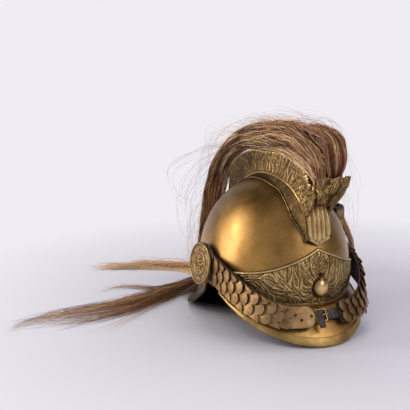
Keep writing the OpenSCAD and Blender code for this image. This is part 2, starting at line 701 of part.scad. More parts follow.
// Point at the share f, moved off along the surface's normal
function brim_pt(phi, f, off, way) =
  let (
    rim = dome_ring(phi, 0, 0, way) + [0, 0, rim_low],
    edge = hem(phi, way),
    flat = [edge.x - rim.x, edge.y - rim.y],
    reach = norm(flat),
    out = reach > 0.5 ? flat / reach : unit([rim.x, rim.y]),
    drop = rim.z - edge.z,
    s = share(f, way),
    ds = share(f + 0.02, way) - share(max(0, f - 0.02), way),
    slope = unit([reach * ds.x, -drop * ds.y]),
    side = s.x * reach - off * slope.y,
    z = rim.z - s.y * drop + off * slope.x
  )
  [rim.x + out.x * side, rim.y + out.y * side, z];

brim_steps = [-80, -74, -67, -60, -52, -44, -35, -26, -17, -8, 0, 8, 17, 26, 35, 44, 52, 60, 67, 74, 80];
function brim_turns(way) = [for (phi = brim_steps) way * phi];

// Brass of a brim: a flange inside the bowl, then the slope down to just inside the edging
module brim(way, t) sheet([
  for (phi = brim_turns(way))
    concat(
      [dome_ring(phi, flange_h, -bowl_t - seat, way), dome_ring(phi, rim_low + 0.2, -bowl_t - seat, way)],
      [for (f = [0.08, 0.25, 0.5, 0.75, 0.9, 0.985]) brim_pt(phi, f, 0, way)]
    )
], t);

// Folded strip over the hem, and the leather lining under the slope
function fold(phi, t, grow, way) = concat(
  [for (f = [0.86, 0.94, 1.0]) brim_pt(phi, f, seat + grow, way)],
  [brim_pt(phi, 1.0, -t / 2, way) + unit(brim_pt(phi, 1.0, 0, way) - brim_pt(phi, 0.97, 0, way)) * (seat + grow)],
  [for (f = [1.0, 0.94, 0.86]) brim_pt(phi, f, -t - seat - grow, way)]
);
module edging(way, t) skin(
  [for (phi = brim_turns(way)) fold(phi, t, edging_t, way)],
  [for (phi = brim_turns(way)) fold(phi, t, 0, way)]
);

// The helmet turns nose-down until the lowest points of the two edgings are level.
function hem_points(t, way) = [for (phi = brim_steps) for (p = fold(phi, t, edging_t, way)) p];
function lowest(points, turn) =
  let (heights = [for (p = points) p.y * sin(turn) + p.z * cos(turn)])
  points[search(min(heights), heights)[0]];
first_stance = atan2(guard_drop - visor_drop, guard_reach + visor_reach);
visor_low = lowest(hem_points(visor_t, -1), first_stance);
guard_low = lowest(hem_points(guard_t, 1), first_stance);
stance = atan2(visor_low.z - guard_low.z, guard_low.y - visor_low.y);
floor_z = stood(visor_low).z;

function lining_grid(way, off) =
  [for (phi = brim_turns(way)) [for (f = [0.12, 0.3, 0.5, 0.7, 0.83]) brim_pt(phi, f, off, way)]];
module lining(way, t) skin(lining_grid(way, -t - lining_gap), lining_grid(way, -t - lining_gap - lining_t));
module visor() stand() color(BRASS) difference() {
  brim(-1, visor_t);
  rivet_holes(-1);
}
module visor_edging() stand() color(BRASS) edging(-1, visor_t);
module visor_lining() stand() color(LEATHER) lining(-1, visor_t);
module neck_guard() stand() color(BRASS) difference() {
  brim(1, guard_t);
  rivet_holes(1);
}
module neck_guard_edging() stand() color(BRASS) edging(1, guard_t);
module neck_guard_lining() stand() color(LEATHER) lining(1, guard_t);

// Rosettes: a dished disc with a bead, petals and a raised middle, and a stud through the bowl
head_x = bowl_half_w + band_off;
head_t = 1.2;
rosette_x = head_x + leather_t + head_t + seat * 3 + rosette_d / 2 * sin(rosette_lean) + rosette_t / 2;
nut_t = 4;
washer_t = 1;
washer_x = dome_x(ear_y + 7, ear_h + 7) - bowl_t - 0.5;

module rosette() {
  r = rosette_d / 2;
  translate([rosette_x, ear_y, ear_h]) rotate([0, 90 - rosette_lean, 0]) {
    rotate_extrude($fn = 96) polygon([
      [0, -rosette_t / 2], [r - 0.6, -rosette_t / 2], [r, -rosette_t / 2 + 0.6], [r, rosette_t / 2 - 0.6],
      [r - 0.8, rosette_t / 2], [r - 2.6, rosette_t / 2], [r - 3.4, rosette_t / 2 - 1], [r * 0.6, rosette_t / 2 - 0.8],
      [r * 0.56, rosette_t / 2 + 0.2], [r * 0.5, rosette_t / 2 + 0.2], [r * 0.46, rosette_t / 2 - 0.8],
      [0, rosette_t / 2 - 0.8]
    ]);
    translate([0, 0, rosette_t / 2 - 1]) {
      for (k = [0:petals - 1]) rotate([0, 0, 360 * k / petals])
        translate([r * 0.74, 0, 0]) scale([2.2, 1.1, 0.9]) sphere(r * 0.075, $fn = 32);
      scale([1, 1, 0.62]) sphere(r * 0.2, $fn = 48);
    }
  }
  stud_in = washer_x - washer_t - nut_t - 1.5;
  translate([stud_in, ear_y, ear_h]) rotate([0, 90, 0])
    cylinder(h = rosette_x - stud_in, d = stud_d, $fn = 48);
}
module left_rosette() stand() color(OLD_BRASS) rosette();
module right_rosette() stand() color(OLD_BRASS) mirror([1, 0, 0]) rosette();

module ear_ring(x, h, d, facets = 48) translate([x, ear_y, ear_h]) rotate([0, 90, 0]) difference() {
  cylinder(h = h, d = d, $fn = facets);
  translate([0, 0, -1]) cylinder(h = h + 2, d = stud_d + 2 * fit, $fn = 48);
}
module rosette_washers() stand() color(IRON) both_sides() ear_ring(washer_x - washer_t, washer_t, 12);
module rosette_nuts() stand() color(IRON) both_sides()
  ear_ring(washer_x - washer_t - 0.2 - nut_t, nut_t, 9.2, 6);
module ear_spacers() stand() color(IRON) both_sides()
  ear_ring(bowl_half_w + 0.1, band_off - 0.4, 14);

// Chin band. It turns on the studs as one loop while it is buckled.
band_square = 2.8;
band_level = 76;
head_r = rosette_d / 2 - 1;
hinge_gap = 0.3;
function band_turn_pt(th) = [
  head_x * pow(max(0, 1 - pow(sin(th), band_square)), 1 / band_square),
  ear_y - band_reach * sin(th),
  ear_h - band_drop * (1 - cos(180 * min(th, band_level) / band_level)) / 2
];
band_steps = [for (th = [0:2:90]) band_turn_pt(th)];
band_lengths = [for (i = 0, s = 0; i < len(band_steps);
  s = s + (i + 1 < len(band_steps) ? norm(band_steps[i + 1] - band_steps[i]) : 0), i = i + 1) s];
band_len = band_lengths[len(band_lengths) - 1];
band_map = [for (i = [0:len(band_steps) - 1]) [band_lengths[i], 2 * i]];

// Point of the leather's inner face on the left side, s along the band from the stud
function band_at(s) = s < 0 ? [head_x, ear_y - s, ear_h] : band_turn_pt(lookup(s, band_map));
function band_w(s) = mix(band_ear_w, band_front_w, min(1, max(0, (s - 20) / 130)));
function band_frame(s) =
  let (
    t = unit(band_at(min(band_len, s + 3)) - band_at(min(band_len - 6, s - 3))),
    out = unit(cross([0, 0, 1], t)),
    tilt = band_tilt * (1 - cos(180 * min(1, max(0, (s - 24) / (band_len - 40))))) / 2,
    lean = cos(tilt) * out + [0, 0, sin(tilt)],
    n = unit(lean - (lean * t) * t),
    w = cross(t, n)
  )
  [t, w, n];
function band_pt(s, v, off) = let (f = band_frame(s)) band_at(s) + v * f[1] + off * f[2];

// Places children on the band: X along it to the front, Y down across it, Z outward
module on_band(s, off = 0) {
  f = band_frame(s);
  p = band_at(s) + off * f[2];
  multmatrix([
    [f[0].x, -f[1].x, f[2].x, p.x],
    [f[0].y, -f[1].y, f[2].y, p.y],
    [f[0].z, -f[1].z, f[2].z, p.z]
  ]) children();
}

// Leather backing: a round head on the stud, then the band, with a rounded tip on the right
tip_gap = 0.4;
bar_x = 13;
tab_t = 1;
ring_out = wire_d / 2 + 0.2 + tab_t;
right_tip = band_len - bar_x - ring_out - tip_gap;
left_tip = band_len - 20;
row_start = head_r - 2.4;
right_rows_end = row_start + right_rows * row_pitch;
function tip_half(s, tip, half) =
  let (r = half * 0.9, u = (s - (tip - r)) / r) u <= 0 ? half : half * sqrt(max(0.002, 1 - u * u));
function leather_half(s, tip, rounded) =
  s < head_r * 0.68 ? sqrt(max(4, head_r * head_r - s * s))
  : rounded ? tip_half(s, tip, band_w(s) / 2 - 0.4)
  : band_w(s) / 2 - 0.4;
module leather(tip, rounded) color(LEATHER) difference() {
  stops = concat(
    [-head_r + 0.2, -head_r * 0.93, -head_r * 0.76, -head_r * 0.5, -head_r * 0.2, head_r * 0.15, head_r * 0.45, head_r * 0.67],
    [for (k = [0:13]) mix(head_r * 0.8, tip - 14, k / 13)],
    [tip - 9, tip - 5, tip - 2, tip]
  );
  sheet([
    for (s = stops)
      let (half = leather_half(s, tip, rounded))
      [for (v = [half, 0, -half]) band_pt(s, v, leather_t)]
  ], leather_t);
  translate([head_x - 5, ear_y, ear_h]) rotate([0, 90, 0]) cylinder(h = 20, d = stud_d + 2 * hinge_gap, $fn = 48);
  if (rounded) mirror([1, 0, 0]) end_rivet_holes();
}
module left_chin_leather() stand() leather(left_tip, false);
module right_chin_leather() stand() mirror([1, 0, 0]) leather(right_tip, true);

// Round head plate on the stud, cut straight where the scales start
module chain_head() color(OLD_BRASS)
  translate([head_x + leather_t + seat, ear_y, ear_h]) rotate([90, 0, 90]) linear_extrude(head_t) difference() {
    intersection() {
      circle(head_r, $fn = 96);
      translate([band_at(row_start).y - ear_y + 0.5, band_at(row_start).z - ear_h])
        rotate(atan2(-band_frame(row_start)[0].z, -band_frame(row_start)[0].y))
          translate([0, -2 * head_r]) square(4 * head_r);
    }
    circle(d = stud_d + 2 * hinge_gap, $fn = 48);
  }
module left_chain_head() stand() chain_head();
module right_chain_head() stand() mirror([1, 0, 0]) chain_head();

// Scale rows: each plate ends in round lobes and reaches over the next; two lobes and three in turn
row_tilt = atan((scale_t + lobe_crown + 0.25) / row_pitch);
module scale_row(w, three) {
  len = row_pitch + row_lap;
  r = w / 4;
  middles = three ? [-w / 2, 0, w / 2] : [-w / 4, w / 4];
  crown_r = r * 0.9;
  ball = (crown_r * crown_r + lobe_crown * lobe_crown) / (2 * lobe_crown);
  linear_extrude(scale_t) intersection() {
    union() {
      translate([0, -w / 2]) square([len - r, w]);
      for (v = middles) translate([len - r, v]) circle(r, $fn = 64);
    }
    translate([0, -w / 2]) square([len, w]);
  }
  intersection() {
    for (v = middles) translate([len - r, v, scale_t + lobe_crown - ball]) sphere(ball, $fn = 96);
    translate([max(0, len - 2 * r), -w / 2, scale_t - 0.2]) cube([2 * r, w, lobe_crown + 1]);
  }
}
module scales(rows) color(TAN_BRASS) for (k = [0:rows - 1])
  on_band(row_start + k * row_pitch, leather_t + 0.2) rotate([0, -row_tilt, 0])
    scale_row(band_w(row_start + (k + 0.5) * row_pitch), k % 2 == 1);
module left_chin_scales() stand() scales(left_rows);
module right_chin_scales() stand() mirror([1, 0, 0]) scales(right_rows);

// Smooth crowned end plate on the right, riveted to the leather
plate_crown = 0.8;
module right_end_plate() stand() mirror([1, 0, 0]) color(TAN_BRASS) difference() {
  stops = concat(
    [for (k = [0:4]) mix(right_rows_end + 0.4, right_tip - 12, k / 4)],
    [right_tip - 9, right_tip - 6, right_tip - 3.5, right_tip - 1.6, right_tip - 0.4, right_tip]
  );
  sheet([
    for (s = stops)
      let (half = tip_half(s, right_tip, band_w(s) / 2))
      [
        for (f = [1, 0.7, 0.35, 0, -0.35, -0.7, -1])
          band_pt(s, f * half, leather_t + 0.2 + scale_t + plate_crown * min(1, (s - right_rows_end) / 8) * (1 - f * f))
      ]
  ], scale_t);
  mirror([1, 0, 0]) end_rivet_holes();
}

// Rivets of the end plate: [distance from the tip, place across the band, depth under the leather]
end_rivet_d = 2.4;
end_rivets = [[26, -3, 0.3], [19, 4, 0.3], [5.4, 0, 2.1]];
module end_rivet_places() for (rivet = end_rivets) mirror([1, 0, 0]) on_band(right_tip - rivet[0], 0)
  translate([0, rivet[1], 0]) {
    $rivet_low = -rivet[2];
    children();
  }
module end_rivet_holes() end_rivet_places()
  translate([0, 0, -4]) cylinder(h = 12, d = end_rivet_d + 2 * fit, $fn = 24);
module end_plate_rivets() stand() color(OLD_BRASS) end_rivet_places() {
  high = leather_t + 0.2 + scale_t + plate_crown;
  translate([0, 0, $rivet_low - 0.2]) cylinder(h = high - $rivet_low + 0.4, d = end_rivet_d, $fn = 24);
  translate([0, 0, high + 0.1]) cylinder(h = 0.7, d1 = end_rivet_d + 1.4, d2 = end_rivet_d, $fn = 24);
  translate([0, 0, $rivet_low - 0.8]) cylinder(h = 0.7, d = end_rivet_d + 1.2, $fn = 24);
}

// Buckle, in its own frame: X to the wearer's left, Y up across the band, Z outward
bar_up = ring_out - seat - tab_t;
frame_in = buckle_w - wire_d;
frame_half = (buckle_h - wire_d) / 2;
module buckle_place() stand() translate(band_turn_pt(90)) rotate([90 - band_tilt, 0, 0]) children();
module wire(a, b) translate(a) rotate([0, acos((b - a).z / norm(b - a)), atan2((b - a).y, (b - a).x)])
  cylinder(h = norm(b - a), d = wire_d, $fn = 32);
module buckle_frame() buckle_place() color(BRASS) translate([-bar_x, 0, bar_up]) {
  corners = [[0, -frame_half, 0], [frame_in, -frame_half, 0], [frame_in, frame_half, 0], [0, frame_half, 0]];
  for (k = [0:3]) {
    wire(corners[k], corners[(k + 1) % 4]);
    translate(corners[k]) sphere(d = wire_d, $fn = 32);
  }
}

// Tab that holds the frame's bar, riveted under the leather; the prong turns in its slot
tab_w = 11;
slot_w = 3.4;
module buckle_tab() buckle_place() color(OLD_BRASS) difference() {
  rotate([90, 0, 0]) linear_extrude(tab_w, center = true) difference() {
    union() {
      translate([-bar_x, bar_up]) circle(ring_out, $fn = 48);
      polygon([[-bar_x, -seat], [-bar_x - 12, -seat - 0.9], [-bar_x - 12, -seat - 0.9 - tab_t], [-bar_x, -seat - tab_t]]);
    }
    translate([-bar_x, bar_up]) circle(wire_d / 2 + 0.2, $fn = 48);
  }
  translate([-bar_x - ring_out - 0.5, -slot_w / 2, -4]) cube([2 * ring_out + 2, slot_w, 12]);
  translate([-bar_x - ring_out - tip_gap - end_rivets[2][0], 0, -6])
    cylinder(h = 12, d = end_rivet_d + 1, $fn = 24);
}

// Prong, at rest on the far side of the frame
prong_d = 1.6;
module buckle_prong() buckle_place() color(BRASS) {
  ring_w = slot_w - 0.8;
  rise = wire_d / 2 + prong_d / 2 + 0.15;
  difference() {
    union() {
      translate([-bar_x, 0, bar_up]) rotate([90, 0, 0]) cylinder(h = ring_w, d = wire_d + 2.4, center = true, $fn = 48);
      translate([-bar_x, 0, bar_up + rise - 0.4]) rotate([0, 88.5, 0]) {
        cylinder(h = frame_in + 1.4, d = prong_d, $fn = 32);
        translate([0, 0, frame_in + 1.4]) sphere(d = prong_d, $fn = 32);
      }
    }
    translate([-bar_x, 0, bar_up]) rotate([90, 0, 0]) cylinder(h = 10, d = wire_d + 0.4, center = true, $fn = 48);
  }
}

// Strap: under the left leather, behind the far side of the frame, over the bar, its end hanging
function ribbon(path, t) =
  let (
    n = len(path) - 1,
    sides = [
      for (i = [0:n])
        let (d = unit(path[min(i + 1, n)] - path[max(i - 1, 0)])) [-d.y, d.x] * t / 2
    ]
  )
  concat([for (i = [0:n]) path[i] + sides[i]], [for (i = [n:-1:0]) path[i] - sides[i]]);
function band_fall(x) =
  -cos(band_tilt) * band_reach * (1 - pow(1 - pow(x / head_x, band_square), 1 / band_square));
strap_up = bar_up + ring_out + 2.8;
module buckle_strap() buckle_place() color(LEATHER) difference() {
  union() {
    under = -seat - strap_t / 2 - 0.1;
    far = frame_in - bar_x;
    rotate([90, 0, 0]) linear_extrude(strap_w, center = true) polygon(ribbon(concat(
      [for (x = [44, 36, 28, 21]) [x, band_fall(x) + under]],
      [
        [far + 4, under],
        [far + 1.6, bar_up - wire_d / 2 - seat - strap_t / 2],
        [far - 2, bar_up - wire_d / 2 - seat - strap_t / 2],
        [-bar_x + 6.5, strap_up - 0.3],
        [-bar_x + 5, strap_up],
        [-bar_x - 2.4, strap_up]
      ]
    ), strap_t));
    translate([-bar_x - 2.4, strap_w / 2 - strap_end, strap_up - strap_t / 2]) linear_extrude(strap_t)
      polygon([[0.8, 0], [7.7, 0], [8.5, 2], [8.5, strap_end], [0, strap_end], [0, 2]]);
  }
  translate([-bar_x + 5.4, -1.4, -8]) cube([frame_in - 5.4 - 0.2, 2.8, 20]);
}

// Plume socket on the wearer's left: it narrows downward, and a bracket shaped to the bowl carries it
socket_rivet_d = 2.6;
liner_wall = 1.2;
socket_narrow = 0.6;
module socket_place() translate([socket_x, -socket_y, socket_h]) rotate([0, -socket_lean, 0]) children();
module socket_rivet_places() for (dy = [-10, 10])
  at_normal([dome_x(-socket_y + dy, socket_h + 9), -socket_y + dy, socket_h + 9]) children();
function square_ring(x0, x1, half, z) = [[x0, -half, z], [x1, -half, z], [x1, half, z], [x0, half, z]];
module plume_socket() stand() color(OLD_BRASS) socket_place() difference() {
  h = socket_w / 2;
  rings_solid([
    square_ring(-h, -h + socket_w * socket_narrow, h * socket_narrow, 0),
    square_ring(-h, h, h, socket_l)
  ]);
  translate([0, 0, socket_l - 15]) cylinder(h = 20, d = plume_bore_d + 2 * liner_wall + 2 * fit, $fn = 48);
}
module plume_socket_liner() stand() color(LEATHER) socket_place() difference() {
  union() {
    translate([0, 0, socket_l - 14.8]) cylinder(h = 15, d = plume_bore_d + 2 * liner_wall, $fn = 48);
    translate([-socket_w * 0.47, -socket_w * 0.47, socket_l + 0.1]) cube([socket_w * 0.94, socket_w * 0.94, 3.4]);
  }
  translate([0, 0, socket_l - 13.6]) cylinder(h = 30, d = plume_bore_d, $fn = 48);
}
module plume_socket_foot() stand() color(OLD_BRASS) difference() {
  union() {
    difference() {
      socket_place() translate([-socket_w / 2 - 0.1 - 14, -4.5, 1]) cube([14, 9, socket_l - 4]);
      dome(seat);
    }
    intersection() {
      dome_shell(seat, seat + 1.4);
      socket_place() translate([-20, -14, 3]) cube([40, 28, 13]);
    }
  }
  socket_rivet_places() cylinder(h = 20, d = socket_rivet_d + 2 * fit, center = true, $fn = 24);
}
module plume_socket_rivets() stand() color(BRASS) socket_rivet_places() {
  translate([0, 0, -bowl_t - 0.3]) cylinder(h = bowl_t + seat + 1.4 + 0.6, d = socket_rivet_d, $fn = 24);
  translate([0, 0, seat + 1.6]) cylinder(h = 0.9, d1 = socket_rivet_d + 1.6, d2 = socket_rivet_d, $fn = 24);
  translate([0, 0, -bowl_t - 0.9]) cylinder(h = 0.7, d = socket_rivet_d + 1.4, $fn = 24);
}

// Liner: a leather headband above the rim, and tongues gathered by a lace under the crown
liner_off = bowl_t + seat + max(visor_t, guard_t) + flange_sag + rivet_head_t + seat;
liner_low = 1;
module headband() stand() color(LINER) intersection() {
  dome_shell(-liner_off - liner_t, -liner_off);
  translate([-150, -150, liner_low]) cube([300, 300, headband_h]);
}
tongue_tip = 34;
module liner_tongues() stand() color(LINER) intersection() {
  dome_shell(-liner_off - liner_t, -liner_off);
  translate([0, 0, liner_low + headband_h + seat]) linear_extrude(200)
    scale([bowl_half_w / bowl_half_l, 1])
      for (k = [0:tongues - 1]) rotate(360 * (k + 0.5) / tongues)
        polygon([[tongue_tip, -5], [tongue_tip + 3, -7], [70, -16], [130, -21], [130, 21], [70, 16], [tongue_tip + 3, 7], [tongue_tip, 5]]);
}
module liner_lace() stand() color(LINER) {
  r = bowl_half_l - liner_off - liner_t - seat - lace_d / 2;
  ring = tongue_tip + 2.5;
  lock([
    for (a = [4:11:356])
      [[ring * bowl_half_w / bowl_half_l * cos(a), ring * sin(a), belt_h + sqrt(r * r - ring * ring)], lace_d / 2, lace_d / 2]
  ], [0, 0, 1], 8);
}

bowl();
front_plate();
grenade();
crest_right_side();
crest_left_side();
crest_front_panel();
crest_back_plate();
crest_leaves();
crest_bolts();
crest_nuts();
tuft_cup();
tuft_ferrule();
tuft();
mane_carrier();
mane_crest_lock();
mane_falling_lock();
mane_table_tail();
mane_table_wisp();
mane_left_strand();
visor();
visor_edging();
visor_lining();
visor_rivets();
neck_guard();
neck_guard_edging();
neck_guard_lining();
neck_guard_rivets();
right_rosette();
left_rosette();
rosette_nuts();
rosette_washers();
ear_spacers();
right_chain_head();
left_chain_head();
right_chin_scales();
left_chin_scales();
right_chin_leather();
left_chin_leather();
right_end_plate();
end_plate_rivets();
buckle_frame();
buckle_tab();
buckle_prong();
buckle_strap();
plume_socket();
plume_socket_foot();
plume_socket_liner();
plume_socket_rivets();
headband();
liner_tongues();
liner_lace();
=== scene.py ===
"""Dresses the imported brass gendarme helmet: leaf relief, scales, leather, horsehair and a plain studio.

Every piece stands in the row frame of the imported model, in metres. The helmet's own frame, in which the
shapes are written in millimetres, leans nose-down in it by STANCE.
"""

import logging
import math
from dataclasses import dataclass
from enum import Enum
from typing import Callable, Optional, Sequence, Union

import bmesh
import bpy
import numpy as np
from mathutils import Matrix, Vector


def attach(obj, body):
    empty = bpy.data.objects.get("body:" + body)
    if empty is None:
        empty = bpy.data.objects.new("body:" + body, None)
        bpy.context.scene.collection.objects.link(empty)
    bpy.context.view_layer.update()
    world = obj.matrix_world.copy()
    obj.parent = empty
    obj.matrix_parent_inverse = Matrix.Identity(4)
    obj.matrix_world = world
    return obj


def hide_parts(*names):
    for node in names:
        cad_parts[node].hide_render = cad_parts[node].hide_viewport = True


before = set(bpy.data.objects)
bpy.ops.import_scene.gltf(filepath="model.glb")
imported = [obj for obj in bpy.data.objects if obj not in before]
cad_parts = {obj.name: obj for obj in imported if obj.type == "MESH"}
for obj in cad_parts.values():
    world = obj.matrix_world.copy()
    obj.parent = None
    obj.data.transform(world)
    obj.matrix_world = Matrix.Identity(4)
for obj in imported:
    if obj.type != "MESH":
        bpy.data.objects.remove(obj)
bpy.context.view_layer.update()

logging.basicConfig(level=logging.INFO, format="%(message)s")
LOG = logging.getLogger("helmet")

Array = np.ndarray
Socket = bpy.types.NodeSocket
Stops = Sequence[tuple[float, str]]
Span = tuple[float, float]
Rows = Sequence[tuple[float, ...]]
Value = Union[bpy.types.NodeSocket, float, str, Sequence[float]]
Inputs = dict[Union[int, str], Value]

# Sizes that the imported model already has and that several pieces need, in millimetres
STANCE = math.radians(4.52052)
BOWL_W, BOWL_L, BELT = 95.6, 117.2, 23.5
SEAT = 0.3
FLOOR_Z = -53.1377

# Where most values of a noise lie
MIDDLE = (0.3, 0.7)
# Edges sharper than this stay sharp
SHARP = math.radians(40)


class Body(Enum):
    """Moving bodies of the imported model."""

    HELMET = "helmet"
    CHAIN = "chin_chain"


class Side(Enum):
    """The wearer's sides, by the sign of X."""

    RIGHT = -1
    LEFT = 1


class Slot(Enum):
    """Material slots of the record."""

    BOWL_BRASS = "bowl_brass"
    RELIEF_BRASS = "relief_brass"
    GRENADE_BRASS = "grenade_brass"
    FITTING_BRASS = "fitting_brass"
    EDGING_BRASS = "edging_brass"
    SCALE_BRASS = "scale_brass"
    BUCKLE_BRASS = "buckle_brass"
    BLACK_LEATHER = "black_leather"
    LINER_LEATHER = "liner_leather"
    HORSEHAIR = "horsehair"
    PALE_HORSEHAIR = "pale_horsehair"
    IRON = "iron"


def stood(points: Array) -> Array:
    """Turn points of the helmet's own frame into the row frame.

    Args:
        points: An array of any shape whose last axis is x, y, z, in millimetres.

    Returns:
        The turned points, in millimetres.
    """
    c, s = math.cos(STANCE), math.sin(STANCE)
    p = np.asarray(points, float)
    return np.stack([p[..., 0], p[..., 1] * c - p[..., 2] * s, p[..., 1] * s + p[..., 2] * c], axis=-1)


def linear(hex_code: str) -> tuple[float, float, float, float]:
    """Convert an sRGB hex colour to the linear colour that the nodes take.

    Args:
        hex_code: Six hexadecimal digits.

    Returns:
        Linear red, green, blue and an alpha of one.
    """
    values = [int(hex_code[i : i + 2], 16) / 255 for i in (0, 2, 4)]
    return (*[v / 12.92 if v <= 0.04045 else ((v + 0.055) / 1.055) ** 2.4 for v in values], 1.0)


# Value noise without Blender, so that a whole grid is shaped at once


class Noise:
    """Smooth seeded value noise in three dimensions, between minus one and one."""

    CELLS = 32

    def __init__(self, seed: int) -> None:
        """Fill the lattice.

        Args:
            seed: Start of the random numbers.
        """
        self._table = np.random.default_rng(seed).uniform(-1.0, 1.0, (self.CELLS,) * 3)

    def __call__(self, points: Array, size: float) -> Array:
        """Sample the noise.

        Args:
            points: Array whose last axis is x, y, z, in millimetres.
            size: Distance between two independent values, in millimetres.

        Returns:
            One value per point.
        """
        q = np.asarray(points, float) / size
        i = np.floor(q).astype(int)
        f = q - i
        f = f * f * (3 - 2 * f)
        total = 0.0
        for dx in (0, 1):
            for dy in (0, 1):
                for dz in (0, 1):
                    w = (
                        np.where(dx, f[..., 0], 1 - f[..., 0])
                        * np.where(dy, f[..., 1], 1 - f[..., 1])
                        * np.where(dz, f[..., 2], 1 - f[..., 2])
                    )
                    cell = tuple((i[..., axis] + step) % self.CELLS for axis, step in enumerate((dx, dy, dz)))
                    total = total + w * self._table[cell]
        return total


NOISE = Noise(7)


def noise_field(points: Array, size: float, shift: float) -> Array:
    """Three noises at once, for pushing points about.

    Args:
        points: Array whose last axis is x, y, z, in millimetres.
        size: Distance between two independent values, in millimetres.
        shift: Distance between the places where the three are sampled.

    Returns:
        One vector per point.
    """
    return np.stack([NOISE(points + shift * i, size) for i in range(3)], axis=-1)


# Materials


def add_node(
    tree: bpy.types.NodeTree,
    kind: str,
    inputs: Inputs,
    output: Union[int, str] = 0,
    stops: Stops = (),
    **settings: object,
) -> Socket:
    """Add a node with its settings and links.

    Args:
        tree: The tree.
        kind: Kind of node, without the prefix that every shader node has.
        inputs: What goes into each socket: an output to link, a number, a vector or an sRGB hex colour.
        output: Which output to return.
        stops: Positions and sRGB hex colours, where the node has a ramp.
        **settings: Properties of the node.

    Returns:
        The output.
    """
    node = tree.nodes.new(f"ShaderNode{kind}")
    for key, value in settings.items():
        setattr(node, key, value)
    if stops:
        elements = node.color_ramp.elements
        while len(elements) < len(stops):
            elements.new(0.5)
        for element, (position, code) in zip(elements, stops):
            element.position = position
            element.color = linear(code)
    for key, value in inputs.items():
        if isinstance(value, bpy.types.NodeSocket):
            tree.links.new(value, node.inputs[key])
        else:
            node.inputs[key].default_value = linear(value) if isinstance(value, str) else value
    return node.outputs[output]


def ranged(value: Socket, span: Span, to: Span) -> Inputs:
    """What a range node takes so that one span of a value becomes another."""
    return {"Value": value, "From Min": span[0], "From Max": span[1], "To Min": to[0], "To Max": to[1]}


